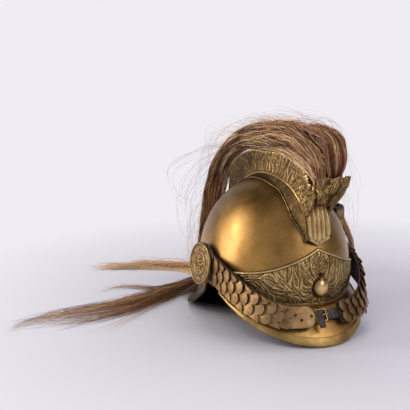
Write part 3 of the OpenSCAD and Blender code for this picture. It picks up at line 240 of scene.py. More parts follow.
class Shader:
    """A material under construction. Sizes, places and depths are in millimetres."""

    def __init__(self, name: str, **values: Value) -> None:
        """Start a material with one principled shader.

        Args:
            name: Name of the material, after what the real one is.
            **values: Plain values of the shader's sockets, with underscores for spaces.
        """
        self.material = bpy.data.materials.new(name)
        self.material.use_nodes = True
        self.tree = self.material.node_tree
        self.bsdf = self.tree.nodes["Principled BSDF"]
        self.place = self.add("TexCoord", {}, "Object")
        for key, value in values.items():
            self.bsdf.inputs[key.replace("_", " ")].default_value = value

    def add(self, kind: str, inputs: Inputs, output: Union[int, str] = 0, **settings: object) -> Socket:
        """Add a node to this material, as add_node does."""
        return add_node(self.tree, kind, inputs, output, **settings)

    def blotches(self, size: float, octaves: int = 3, stretch: Optional[Sequence[float]] = None) -> Socket:
        """Cloudy unevenness of a real size.

        Args:
            size: How far the blotches are across.
            octaves: How many finer sizes it has.
            stretch: How much denser it is along each axis.

        Returns:
            Values from zero to one.
        """
        place = self.add("Mapping", {"Vector": self.place, "Scale": stretch}) if stretch else self.place
        inputs = {"Vector": place, "Scale": 1000.0 / size, "Detail": octaves, "Roughness": 0.55}
        return self.add("TexNoise", inputs, "Fac")

    def patches(self, size: float, octaves: int, span: Span, to: Span) -> Socket:
        """Blotches with a given range of values.

        Args:
            size: How far they are across.
            octaves: How many finer sizes they have.
            span: Range of the blotches that counts.
            to: Range of the result.

        Returns:
            The result.
        """
        return self.add("MapRange", ranged(self.blotches(size, octaves), span, to))

    def near(self, centre: Sequence[float], radius: float) -> Socket:
        """One at a place of the row frame and zero at a distance from it.

        Args:
            centre: The place.
            radius: The distance.

        Returns:
            The value.
        """
        inputs = {0: self.place, 1: [c / 1000 for c in centre]}
        away = self.add("VectorMath", inputs, "Value", operation="DISTANCE")
        return self.add("MapRange", ranged(away, (0.0, radius / 1000), (1.0, 0.0)))

    def spot(self, centre: Sequence[float], radius: float, span: Span, to: Span) -> Socket:
        """A soft spot round a place of the row frame.

        Args:
            centre: The place.
            radius: Distance at which it has faded away.
            span: Range of the nearness that counts, from zero at the edge to one at the place.
            to: Range of the result.

        Returns:
            The result.
        """
        return self.add("MapRange", ranged(self.near(centre, radius), span, to))

    def stain(self, centre: Sequence[float], radius: float, patches: Socket) -> Socket:
        """Patches that fade away from a place of the row frame.

        Args:
            centre: The place.
            radius: Distance at which they have faded away.
            patches: The patches.

        Returns:
            Values from zero to one.
        """
        inputs = {0: self.near(centre, radius), 1: patches}
        return self.add("Math", inputs, operation="MULTIPLY", use_clamp=True)

    def mottled(self, size: float, octaves: int, stops: Stops) -> Socket:
        """Blotches of several colours.

        Args:
            size: How far they are across.
            octaves: How many finer sizes they have.
            stops: Shares of the blotches and their sRGB hex colours.

        Returns:
            The colour.
        """
        return self.add("ValToRGB", {"Fac": self.blotches(size, octaves)}, stops=stops)

    def layered(self, colour: Socket, *layers: tuple[Socket, str]) -> Socket:
        """A colour with others laid over it, one after another.

        Args:
            colour: The colour below.
            *layers: How much each layer covers, and its sRGB hex colour.

        Returns:
            The colour that shows.
        """
        for share, code in layers:
            colour = self.add("Mix", {0: share, 6: colour, 7: code}, 2, data_type="RGBA")
        return colour

    def uneven(self, size: float, octaves: int, depth: float, strength: float, **more: Optional[Value]) -> Socket:
        """A surface that blotches make uneven.

        Args:
            size: How far the blotches are across.
            octaves: How many finer sizes they have.
            depth: Their depth.
            strength: How strongly they show.
            **more: A stretch of the blotches, or a coarser unevenness, called under, that they add to.

        Returns:
            The bent normal.
        """
        inputs = {"Distance": depth / 1000, "Strength": strength}
        inputs["Height"] = self.blotches(size, octaves, more.get("stretch"))
        if "under" in more:
            inputs["Normal"] = more["under"]
        return self.add("Bump", inputs)

    def done(
        self, colour: Socket, roughness: Optional[Socket] = None, normal: Optional[Socket] = None
    ) -> bpy.types.Material:
        """Give the principled shader what the nodes make.

        Args:
            colour: Colour.
            roughness: Roughness, where it varies.
            normal: Normal, where it is bent.

        Returns:
            The material.
        """
        for socket, output in (("Base Color", colour), ("Roughness", roughness), ("Normal", normal)):
            if output is not None:
                self.tree.links.new(output, self.bsdf.inputs[socket])
        return self.material


@dataclass(frozen=True)
class Metal:
    """A metal with blotches of tarnish and a fine skin of pits, from its blotches, sheen and pits in millimetres."""

    slot: Slot
    stops: Stops
    blotch: tuple[float, int]
    sheen: float
    roughness: Span
    pit: tuple[float, int]
    depth: float
    strength: float = 0.4
    metallic: float = 1.0

    def colour(self, m: Shader) -> Socket:
        """Colour of the metal."""
        return m.mottled(*self.blotch, self.stops)

    def material(self) -> bpy.types.Material:
        """Build the material.

        Returns:
            The material.
        """
        m = Shader(self.slot.value, Metallic=self.metallic)
        sheen = m.patches(self.sheen, 3, MIDDLE, self.roughness)
        return m.done(self.colour(m), sheen, m.uneven(*self.pit, self.depth, self.strength))


class GrenadeBrass(Metal):
    """Polished ball of the grenade, with painted light making it pale in front and painted shade making it dark where
    it meets the plate.
    """

    def colour(self, m: Shader) -> Socket:
        """Colour of the metal: painted shade at the ball's dark foot, painted light towards its front."""
        # Painted light and shade: bright round a point in front of the ball, dark towards its rim and foot
        painted_front_light = m.stain(stood([0, -129, 28]), 25, m.patches(*self.blotch, MIDDLE, (0.85, 1.0)))
        return m.add("ValToRGB", {"Fac": painted_front_light}, stops=self.stops)


class EdgingBrass(Metal):
    """Folded edging strip, rubbed bright, with small dents, and painted shade at the neck guard's right corner."""

    def colour(self, m: Shader) -> Socket:
        """Colour of the metal, with painted shade at the neck guard's right corner."""
        rubbed = m.add("ValToRGB", {"Fac": m.patches(*self.blotch, MIDDLE, (0.0, 1.0))}, stops=self.stops)
        # Painted shade: a dark patch at the neck guard's right corner, for the shade of the dark space under the chain
        return m.layered(rubbed, (m.spot((-90, 54, -30), 50, (0.0, 0.4), (0.0, 0.88)), "33261a"))


class ScaleBrass(Metal):
    """Dull tan brass of the chin scales, with fine pits and brown wear."""

    def colour(self, m: Shader) -> Socket:
        """Colour of the metal, with brown specks."""
        specks = m.patches(1.8, 2, (0.62, 0.72), (0.0, 0.6))
        return m.layered(m.mottled(*self.blotch, self.stops), (specks, "4b341a"))


@dataclass(frozen=True)
class BowlBrass:
    """Lacquered sheet brass, satin and golden brown, with brown tarnish and faint scratches."""

    slot: Slot = Slot.BOWL_BRASS
    stops: Stops = ((0.28, "6d5029"), (0.5, "98713a"), (0.72, "ad8445"))
    # Middle of the visor's painted light and of its stains
    visor: tuple[float, ...] = (30, -160, -30)
    # Middle of the painted shade at the neck guard's right corner
    shaded_guard_corner: tuple[float, ...] = (-88, 58, -32)

    def material(self) -> bpy.types.Material:
        """Build the material.

        Returns:
            The material.
        """
        m = Shader(self.slot.value, Metallic=1.0, Coat_Weight=0.3, Coat_Roughness=0.3)
        colour = m.layered(
            m.mottled(42, 4, self.stops),
            # Painted light: the visor is coloured brighter, standing in for light that its reflections lack; real
            # stains lie over it
            (m.spot(self.visor, 110, (0.0, 0.45), (0.0, 0.5)), "d3a25c"),
            (m.stain(self.visor, 110, m.patches(15, 3, (0.52, 0.62), (0.0, 1.0))), "6b4c2a"),
            # Painted shade at the neck guard's right corner, for the dark space under the chain; and dark specks
            # everywhere
            (m.spot(self.shaded_guard_corner, 50, (0.0, 0.4), (0.0, 0.94)), "231a13"),
            (m.patches(3.4, 2, (0.66, 0.72), (0.0, 0.55)), "4f391d"),
        )
        dents = m.uneven(30, 2, 0.5, 0.5)
        scratches = m.uneven(9, 2, 0.02, 0.5, stretch=(1.0, 14.0, 1.4), under=dents)
        return m.done(colour, m.patches(18, 5, MIDDLE, (0.33, 0.45)), scratches)


@dataclass(frozen=True)
class ReliefBrass:
    """Old stamped brass: dark in the hollows, bright yellow on the ridges, a little verdigris."""

    slot: Slot = Slot.RELIEF_BRASS
    stops: Stops = ((0.0, "332617"), (0.3, "634d2f"), (0.6, "93774d"), (0.95, "d2b27c"))

    def material(self) -> bpy.types.Material:
        """Build the material.

        Returns:
            The material.
        """
        m = Shader(self.slot.value, Metallic=1.0)
        stamped = m.add("Attribute", {}, "Fac", attribute_name="relief")
        uneven = m.patches(5, 3, (0.35, 0.65), (-0.1, 0.1))
        height = m.add("Math", {0: stamped, 1: uneven}, operation="ADD", use_clamp=True)
        verdigris = m.stain(stood([25, -113, 15]), 16, m.patches(4, 3, (0.5, 0.62), (0.0, 0.55)))
        colour = m.layered(
            m.add("ValToRGB", {"Fac": height}, stops=self.stops),
            (m.patches(26, 3, (0.4, 0.65), (0.0, 0.25)), "7a6238"),
            (verdigris, "5a7550"),
        )
        sheen = m.add("MapRange", ranged(height, (0.0, 1.0), (0.5, 0.3)))
        return m.done(colour, sheen, m.uneven(1.6, 3, 0.12, 0.45))


@dataclass(frozen=True)
class Leather:
    """Vegetable-tanned leather with grain about a millimetre across, and creases; blotched between a dark and a rubbed
    colour.
    """

    slot: Slot
    creased: str
    rubbed: str
    roughness: float
    grain: float = 1.1

    def material(self) -> bpy.types.Material:
        """Build the material.

        Returns:
            The material.
        """
        m = Shader(self.slot.value, Specular_IOR_Level=0.35)
        creases = m.uneven(6, 4, 0.35, 0.5, stretch=(0.6, 1.6, 1.0))
        grain = m.add("TexVoronoi", {"Vector": m.place, "Scale": 1000.0 / self.grain}, "Distance")
        normal = m.add("Bump", {"Distance": 0.12 / 1000, "Strength": 0.5, "Height": grain, "Normal": creases})
        dullness = m.patches(6, 3, MIDDLE, (self.roughness - 0.08, self.roughness + 0.1))
        return m.done(m.mottled(9, 4, ((0.3, self.creased), (0.7, self.rubbed))), dullness, normal)


@dataclass(frozen=True)
class Horsehair:
    """Long horsehair; the tone of each hair comes with its mesh, and a few hairs are red."""

    slot: Slot
    stops: Stops

    def material(self) -> bpy.types.Material:
        """Build the material.

        Returns:
            The material.
        """
        warm = (1.0, 0.88, 0.72, 1.0)
        m = Shader(self.slot.value, Roughness=0.4, Specular_IOR_Level=0.4, Specular_Tint=warm)
        tone, red = (m.add("Attribute", {}, "Fac", attribute_name=name) for name in ("tone", "red"))
        return m.done(m.layered(m.add("ValToRGB", {"Fac": tone}, stops=self.stops), (red, "a02638")))


FINISHES = (
    BowlBrass(),
    ReliefBrass(),
    # The grenade's ball: cast, with a polish; painted light makes it pale in front and painted shade dark at its foot
    GrenadeBrass(
        Slot.GRENADE_BRASS, ((0.15, "2e2115"), (0.42, "7d6340"), (0.7, "dcb982")), (6, 3), 5, (0.24, 0.34), (3, 3), 0.1
    ),
    # Small cast fittings: plain brass, brown with handling and dull
    Metal(
        Slot.FITTING_BRASS, ((0.3, "5f4b30"), (0.5, "86704c"), (0.7, "a98d62")), (7, 4), 4, (0.36, 0.5), (2.2, 3), 0.1
    ),
    # Folded edging: rolled strip, rubbed bright, with small dents
    EdgingBrass(
        Slot.EDGING_BRASS, ((0.0, "8a6c42"), (0.5, "a5844f"), (1.0, "c4a268")), (22, 3), 12, (0.34, 0.46), (16, 2), 0.3
    ),
    # Chin scales: stamped from thin sheet, dull and tan
    ScaleBrass(
        Slot.SCALE_BRASS, ((0.25, "735a3d"), (0.5, "977853"), (0.75, "b4946a")), (14, 4), 6, (0.5, 0.62), (2.2, 3),
        0.1, 0.5,
    ),
    # Buckle: cast, polished by the strap
    Metal(Slot.BUCKLE_BRASS, ((0.3, "87663a"), (0.6, "bf9a5c")), (5, 3), 3, (0.25, 0.4), (2.5, 2), 0.08),
    # Strap and lining leather: blackened, brown where it is rubbed
    Leather(Slot.BLACK_LEATHER, "1b1512", "463a34", 0.5),
    # Liner leather: undyed, dry and dull
    Leather(Slot.LINER_LEATHER, "3d2717", "74522f", 0.62),
    # The mane: nearly black to straw
    Horsehair(
        Slot.HORSEHAIR, ((0.0, "23140d"), (0.3, "613b27"), (0.6, "9b6c4b"), (0.85, "d0a475"), (1.0, "edcfa4"))
    ),
    # The wisp and the left strand: fairer
    Horsehair(Slot.PALE_HORSEHAIR, ((0.0, "5f3f28"), (0.35, "a9784e"), (0.7, "d6a87c"), (1.0, "efd2ac"))),
    # Hidden bolts, nuts and washers: forged iron, dull and grey
    Metal(Slot.IRON, ((0.3, "33302d"), (0.7, "625d57")), (4, 4), 3, (0.45, 0.65), (1.5, 3), 0.08, 0.5, 0.9),
)


class Finishes:
    """Every material of the helmet, one per slot of the record."""

    def __init__(self) -> None:
        """Build the materials."""
        self.by_slot = {finish.slot: finish.material() for finish in FINISHES}

    def __getitem__(self, slot: Slot) -> bpy.types.Material:
        """The material of a slot."""
        return self.by_slot[slot]


# Meshes


def new_object(name: str, mesh: bpy.types.Mesh) -> bpy.types.Object:
    """Link a new mesh object at the origin.

    Args:
        name: Name of the piece.
        mesh: Its mesh.

    Returns:
        The object.
    """
    obj = bpy.data.objects.new(name, mesh)
    bpy.context.scene.collection.objects.link(obj)
    return obj


def mesh_of(name: str, points_mm: Array, quads: Array, **attributes: Array) -> bpy.types.Mesh:
    """A smooth mesh of quads from arrays.

    Args:
        name: Name of the mesh.
        points_mm: Vertices in the row frame, in millimetres.
        quads: Vertex indices, four to a face.
        **attributes: Values from zero to one, one per vertex.

    Returns:
        The mesh.
    """
    mesh = bpy.data.meshes.new(name)
    mesh.vertices.add(len(points_mm))
    mesh.vertices.foreach_set("co", (np.asarray(points_mm, np.float32) / 1000).ravel())
    mesh.loops.add(quads.size)
    mesh.loops.foreach_set("vertex_index", quads.astype(np.int32).ravel())
    mesh.polygons.add(len(quads))
    mesh.polygons.foreach_set("loop_start", np.arange(0, quads.size, 4, dtype=np.int32))
    mesh.polygons.foreach_set("use_smooth", np.full(len(quads), True))
    for key, values in attributes.items():
        layer = mesh.attributes.new(key, "FLOAT", "POINT")
        layer.data.foreach_set("value", np.clip(np.asarray(values, np.float32).ravel(), 0, 1))
    mesh.update(calc_edges=True)
    mesh.validate()
    return mesh


def grid_quads(rows: int, columns: int, offset: int = 0, around: bool = False, flip: bool = False) -> Array:
    """Faces of a grid of vertices.

    Args:
        rows: Rows of vertices.
        columns: Vertices in a row.
        offset: Index of the first vertex.
        around: Whether the last column joins the first.
        flip: Whether to turn the faces over.

    Returns:
        Vertex indices, four to a face.
    """
    i, j = np.meshgrid(np.arange(rows - 1), np.arange(columns if around else columns - 1), indexing="ij")
    k = (j + 1) % columns
    corners = [i * columns + j, (i + 1) * columns + j, (i + 1) * columns + k, i * columns + k]
    faces = np.stack(corners, axis=-1).reshape(-1, 4)
    return (faces[:, ::-1] if flip else faces) + offset


def normals_of(grid: Array) -> Array:
    """Unit normals of a grid of points.

    Args:
        grid: Points, rows by columns by three.

    Returns:
        Normals of the same shape, along rows crossed with columns.
    """
    n = np.cross(np.gradient(grid, axis=0), np.gradient(grid, axis=1))
    return n / np.maximum(np.linalg.norm(n, axis=-1, keepdims=True), 1e-9)


def plate_mesh(name: str, outer: Array, thickness: float, relief: Array, flip: bool = False) -> bpy.types.Mesh:
    """A closed sheet whose outer face is a grid.

    Args:
        name: Name of the mesh.
        outer: Outer face in the row frame, in millimetres, with its relief.
        thickness: Thickness behind the mean outer face, in millimetres; its sign is the side.
        relief: Relief from zero to one at the outer face.
        flip: Whether to turn the faces over.

    Returns:
        The mesh.
    """
    rows, columns = outer.shape[:2]
    back = outer - normals_of(outer) * thickness
    base = rows * columns
    points = np.concatenate([outer.reshape(-1, 3), back.reshape(-1, 3)])
    quads = [grid_quads(rows, columns, 0, flip=flip), grid_quads(rows, columns, base, flip=not flip)]
    top = np.arange(columns)
    left = np.arange(rows) * columns
    rims = ((top, False), (top + (rows - 1) * columns, True), (left, True), (left + columns - 1, False))
    for line, turned in rims:
        a, b = line[:-1], line[1:]
        rim = np.stack([a, b, b + base, a + base], axis=-1)
        quads.append(rim[:, ::-1] if turned != flip else rim)
    return mesh_of(name, points, np.concatenate(quads), relief=np.concatenate([relief.ravel(), np.zeros(base)]))


def closed_profile(name: str, rings: Array, relief: Array) -> bpy.types.Mesh:
    """A closed skin through rings, its first and last ring drawn to points.

    Args:
        name: Name of the mesh.
        rings: Rings by points by three, in the row frame, in millimetres.
        relief: Relief at the rings' points.

    Returns:
        The mesh.
    """
    first = np.broadcast_to(rings[0].mean(axis=0), rings[:1].shape)
    last = np.broadcast_to(rings[-1].mean(axis=0), rings[:1].shape)
    grid = np.concatenate([first, rings, last])
    tone = np.concatenate([relief[:1], relief, relief[-1:]])
    quads = grid_quads(len(grid), grid.shape[1], around=True)
    mesh = mesh_of(name, grid.reshape(-1, 3), quads, relief=tone)
    bm = bmesh.new()
    bm.from_mesh(mesh)
    bmesh.ops.remove_doubles(bm, verts=bm.verts, dist=2e-6)
    bmesh.ops.recalc_face_normals(bm, faces=bm.faces)
    bm.to_mesh(mesh)
    bm.free()
    return mesh

def joined(name: str, meshes: Sequence[bpy.types.Mesh]) -> bpy.types.Mesh:
    """Join meshes into the first of them.

    Args:
        name: Name of the joined mesh.
        meshes: The meshes; all but the first are removed.

    Returns:
        The joined mesh.
    """
    bm = bmesh.new()
    for mesh in meshes:
        bm.from_mesh(mesh)
    for mesh in meshes[1:]:
        bpy.data.meshes.remove(mesh)
    bm.to_mesh(meshes[0])
    bm.free()
    meshes[0].name = name
    return meshes[0]


def through_stations(stations: Array, per: Sequence[int]) -> tuple[Array, Array]:
    """Places on straight lines between stations.

    Args:
        stations: Stations by sizes.
        per: Number of places from each station to the next.

    Returns:
        The places, counted in stations, and the sizes there.
    """
    u = np.concatenate([np.linspace(i, i + 1, n, endpoint=False) for i, n in enumerate(per)] + [[len(per)]])
    return u, np.stack([np.interp(u, np.arange(len(stations)), column) for column in stations.T], axis=-1)


def dome_point(phi: Array, z: Array, off: Array) -> Array:
    """Point of the bowl's surface.

    Args:
        phi: Turn from the front in radians, positive to the wearer's left.
        z: Height above the rim in millimetres.
        off: Distance out from the bowl in millimetres.

    Returns:
        Points in the helmet's frame.
    """
    length = BOWL_L + off
    k = np.sqrt(np.maximum(0, 1 - ((z - BELT) / length) ** 2))
    return np.stack([(BOWL_W + off) * k * np.sin(phi), -length * k * np.cos(phi), z + 0 * phi], axis=-1)


class Relief:
    """Heights of stamped leaves over a sheet, sampled at flat coordinates in millimetres."""

    def __init__(self, across: Array, up: Array, pitch: float = 2.8) -> None:
        """Start with a bare sheet.

        Args:
            across: First coordinate of every point.
            up: Second coordinate of every point.
            pitch: Distance between the strokes of a leaf.
        """
        self.across, self.up, self.pitch = across, up, pitch
        self.height = np.zeros_like(across)

    def leaf(self, at: Span, angle: float, length: float, width: float, lift: float = 1.0, bend: float = 0.0) -> None:
        """Lay one leaf of nested strokes over what is there.

        Args:
            at: Its foot.
            angle: Its direction in radians.
            length: Its length.
            width: Half its width.
            lift: Its height.
            bend: How far its tip swings aside, as a share of its length.
        """
        near = (abs(self.across - at[0]) < length * 1.3) & (abs(self.up - at[1]) < length * 1.3)
        da, du = self.across[near] - at[0], self.up[near] - at[1]
        along = da * math.cos(angle) + du * math.sin(angle)
        aside = -da * math.sin(angle) + du * math.cos(angle) - bend * along**2 / length
        t = np.clip(along / length, 0.001, 0.999)
        half = np.maximum(width * np.sin(np.pi * t**0.75) ** 0.8, 0.05)
        q = np.abs(aside) / half
        strokes = max(1, round(width / self.pitch))
        ribs = 0.5 + 0.5 * np.cos(2 * np.pi * strokes * q) if width > self.pitch else 1.0
        shape = lift * np.clip(1 - q**2, 0, 1) ** 0.3 * (0.1 + 0.9 * ribs**1.8)
        inside = (along > 0) & (along < length) & (q < 1)
        self.height[near] = np.where(inside, shape, self.height[near])

    def comb(self, course: Callable[[Array, Array], Array], reach: int, size: float, level: float = 0.45) -> None:
        """Cover the sheet with short strokes of even width that follow a course.

        Args:
            course: Direction in radians from the two coordinates.
            reach: Half the length of a stroke.
            size: Width of a stroke.
            level: Share of the sheet that the strokes cover.
        """

        def blurred(field: Array) -> Array:
            """Mean over a square of nine points, twice.

            Args:
                field: The values.

            Returns:
                Their means.
            """
            for _ in range(2):
                for axis in (0, 1):
                    pads = [(5, 4) if i == axis else (0, 0) for i in (0, 1)]
                    sums = np.cumsum(np.pad(field, pads, mode="edge"), axis=axis)
                    last, length = np.take(sums, range(9, sums.shape[axis]), axis), sums.shape[axis] - 9
                    field = (last - np.take(sums, range(length), axis)) / 9
            return field

        total = np.zeros_like(self.across)
        for way in (-1, 1):
            a, u = self.across, self.up
            for _ in range(reach):
                total = total + NOISE(np.stack([a, u, 0 * a + 5], axis=-1), size)
                turn = course(a, u)
                a, u = a + way * np.cos(turn), u + way * np.sin(turn)
        total = total - blurred(total)
        total = total / np.sqrt(blurred(total**2) + 1e-6)
        self.height = np.clip(level + 0.4 * total, 0, 1)

    def stem(self, line: Array, width: float, lift: float) -> None:
        """Lay a round stem.

        Args:
            line: Points of its middle.
            width: Half its width.
            lift: Its height.
        """
        for (x0, z0), (x1, z1) in zip(line[:-1], line[1:]):
            dx, dz = x1 - x0, z1 - z0
            t = np.clip(((self.across - x0) * dx + (self.up - z0) * dz) / (dx * dx + dz * dz), 0, 1)
            gap = np.hypot(self.across - x0 - t * dx, self.up - z0 - t * dz) / width
            self.height = np.maximum(self.height, lift * np.sqrt(np.clip(1 - gap**2, 0, 1)))


def outward_sign(grid: Array) -> float:
    """Tell whether a grid's own normals point away from the middle of the bowl.

    Args:
        grid: Points of the grid in the helmet's frame.

    Returns:
        One or minus one.
    """
    way = normals_of(grid) * (grid - np.array([0.0, 0.0, 23.0]))
    return 1.0 if way.sum(axis=-1).mean() > 0 else -1.0


# The crest's own curves, in turns from the crown, as the model has them


def crest_point(turn: Array, radius: Array, x: Array) -> Array:
    """Point of the crest from its turn, its distance from the bowl's middle and its place across.

    Args:
        turn: Turn from the crown in degrees, positive to the front.
        radius: Distance from the middle of the bowl.
        x: Place across.

    Returns:
        Points in the helmet's frame.
    """
    t = np.radians(turn)
    return np.stack([x + 0 * t, -radius * np.sin(t), BELT + radius * np.cos(t)], axis=-1)


def dome_radius(x: Array, off: float = 0.0) -> Array:
    """Radius of the bowl seen from the side, at a distance from the middle plane."""
    return (BOWL_L + off) * np.sqrt(1 - (x / (BOWL_W + off)) ** 2)


def over(turn: Array, table: Sequence[tuple[float, float]]) -> Array:
    """Value at a turn from a short table of turns and values in rising order."""
    return np.interp(turn, [t for t, _ in table], [v for _, v in table])


@dataclass(frozen=True)
class SubAssembly:
    """A part of the helmet that builds its own pieces and dresses them. Sizes are in millimetres."""

    finishes: Finishes

    def put(
        self, obj: bpy.types.Object, slot: Slot, replaced: Sequence[str] = (), body: Body = Body.HELMET
    ) -> None:
        """Finish a piece, let it ride and let it stand for CAD nodes.

        Args:
            obj: The piece.
            slot: Its material slot.
            replaced: CAD nodes that it stands for.
            body: The body that carries it.
        """
        obj.data.materials.clear()
        obj.data.materials.append(self.finishes[slot])
        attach(obj, body.value)
        if replaced:
            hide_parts(*replaced)
        LOG.info("%s: %d faces on %s", obj.name, len(obj.data.polygons), body.value)


@dataclass(frozen=True)
class Skull(SubAssembly):
    """The brass skull as a smooth double-walled shell with shallow dents."""

    thick: float = 1.2
    columns: int = 288
    rows: int = 108

    def build(self) -> None:
        """Make the piece."""
        a = np.linspace(0, 2 * np.pi, self.columns, endpoint=False)[None, :]
        low = -math.asin(BELT / BOWL_L)
        t = np.linspace(low, math.pi / 2 - 0.004, self.rows)[:, None]
        layers = []
        for off in (0.0, -self.thick):
            length, wide = BOWL_L + off, BOWL_W + off
            height = BELT + length * np.sin(t) + 0 * a
            grid = np.stack([wide * np.cos(t) * np.sin(a), -length * np.cos(t) * np.cos(a), height], axis=-1)
            grid[0, :, 2] = 0.0
            dent = np.clip(NOISE(grid, 34) + 0.6 * NOISE(grid, 13) - 0.25, 0, 1) * -0.45
            way = (grid - np.array([0, 0, BELT])) / BOWL_L
            layers.append(grid + way * dent[..., None])
        rings = np.concatenate([layers[1][::-1], layers[0]])
        mesh = closed_profile("bowl_skull", stood(rings), np.zeros(rings.shape[:2]))
        mesh.set_sharp_from_angle(angle=SHARP)
        self.put(new_object("bowl_skull", mesh), Slot.BOWL_BRASS, ["bowl"])


@dataclass(frozen=True)
class FrontPlate(SubAssembly):
    """The stamped front plate: fine strokes and a few leaves round the grenade, inside a raised border."""

    thick: float = 1.0
    peak: float = 75.0
    end_height: float = 32.0
    foot: float = 3.0
    half_width: float = 94.0
    half_turn: float = 80.1
    columns: int = 469
    rows: int = 104
    grenade: float = 25.0
    stroke: float = 1.05

    def top_line(self, x: Array) -> Array:
        """Height of the upper edge at a place across it."""
        return self.peak - (self.peak - self.end_height) * np.abs(x) / self.half_width

    def course(self, a: Array, u: Array) -> Array:
        """Direction of the strokes: fans beside the middle, waves at the sides, rays about the grenade.

        Args:
            a: Distance from the middle.
            u: Height above the rim.

        Returns:
            Directions in radians.
        """
        place = np.stack([a, u, 0 * a], axis=-1)
        turn = 1.75 - 1.5 * np.clip(a / 75, 0, 1) + 0.85 * NOISE(place + 7, 24) + 1.0 * NOISE(place, 9.5)
        ray = np.clip((33 - np.hypot(a, u - self.grenade)) / 12, 0, 1)
        return turn * (1 - ray) + ray * np.arctan2(u - self.grenade, np.maximum(a, 0.1))

    def stamped(self, across: Array, z: Array, below_edge: Array) -> Array:
        """Height of the stamping.

        Args:
            across: Distance round the bowl from the middle, with its sign.
            z: Height above the rim.
            below_edge: Distance below the upper edge.

        Returns:
            Heights above the bare sheet.
        """
        relief = Relief(np.abs(across), z)
        relief.comb(self.course, 6, self.stroke, level=0.55)
        relief.stem([(0, 40), (0, 72)], 1.4, 1.0)
        for z0 in np.arange(60, 36, -4.6):
            relief.leaf((0.4, z0), 0.95, 13, 3.0, 1.0, -0.3)
        height = relief.height * 0.8
        ball = np.hypot(across, z - self.grenade)
        height *= np.clip((ball - 12.5) / 3.0, 0, 1)
        border = np.exp(-(((below_edge - 2.0) / 1.3) ** 4)) * 1.25
        height = np.where(below_edge < 4.2, border, height)
        foot = np.exp(-(((z - self.foot - 1.4) / 1.2) ** 4)) * 0.9
        return np.where(z < self.foot + 3.2, foot, height)

    def build(self) -> None:
        """Make the piece."""
        off = SEAT + self.thick
        phi = np.linspace(-self.half_turn, self.half_turn, self.columns) * math.pi / 180
        top = np.full(self.columns, 50.0)
        for _ in range(12):
            top = self.top_line(dome_point(phi, top, off)[:, 0])
        f = np.linspace(0, 1, self.rows)[:, None]
        z = self.foot + f * (top - self.foot)[None, :]
        base = dome_point(np.broadcast_to(phi, z.shape), z, off)
        across = np.broadcast_to(phi, z.shape) * 112.0
        height = self.stamped(across, z, (top[None, :] - z) * 0.92)
        height += 0.12 * NOISE(base, 1.7)
        sign = outward_sign(base)
        outer = base + normals_of(base) * np.where(np.abs(height) > 0, height, 0)[..., None] * sign
        # Painted light: the plate's ends are coloured paler, standing in for light that falls short there
        painted_light_ends = 0.14 * np.clip((np.abs(across) - 50) / 30, 0, 1)
        shade = 0.14 + 0.76 * np.clip(height / 0.85, 0, 1) + 0.12 * NOISE(base, 14) + painted_light_ends
        mesh = plate_mesh("front_plate_leaves", stood(outer), self.thick * sign, shade, flip=sign < 0)
        self.put(new_object(mesh.name, mesh), Slot.RELIEF_BRASS, ["front_plate"])


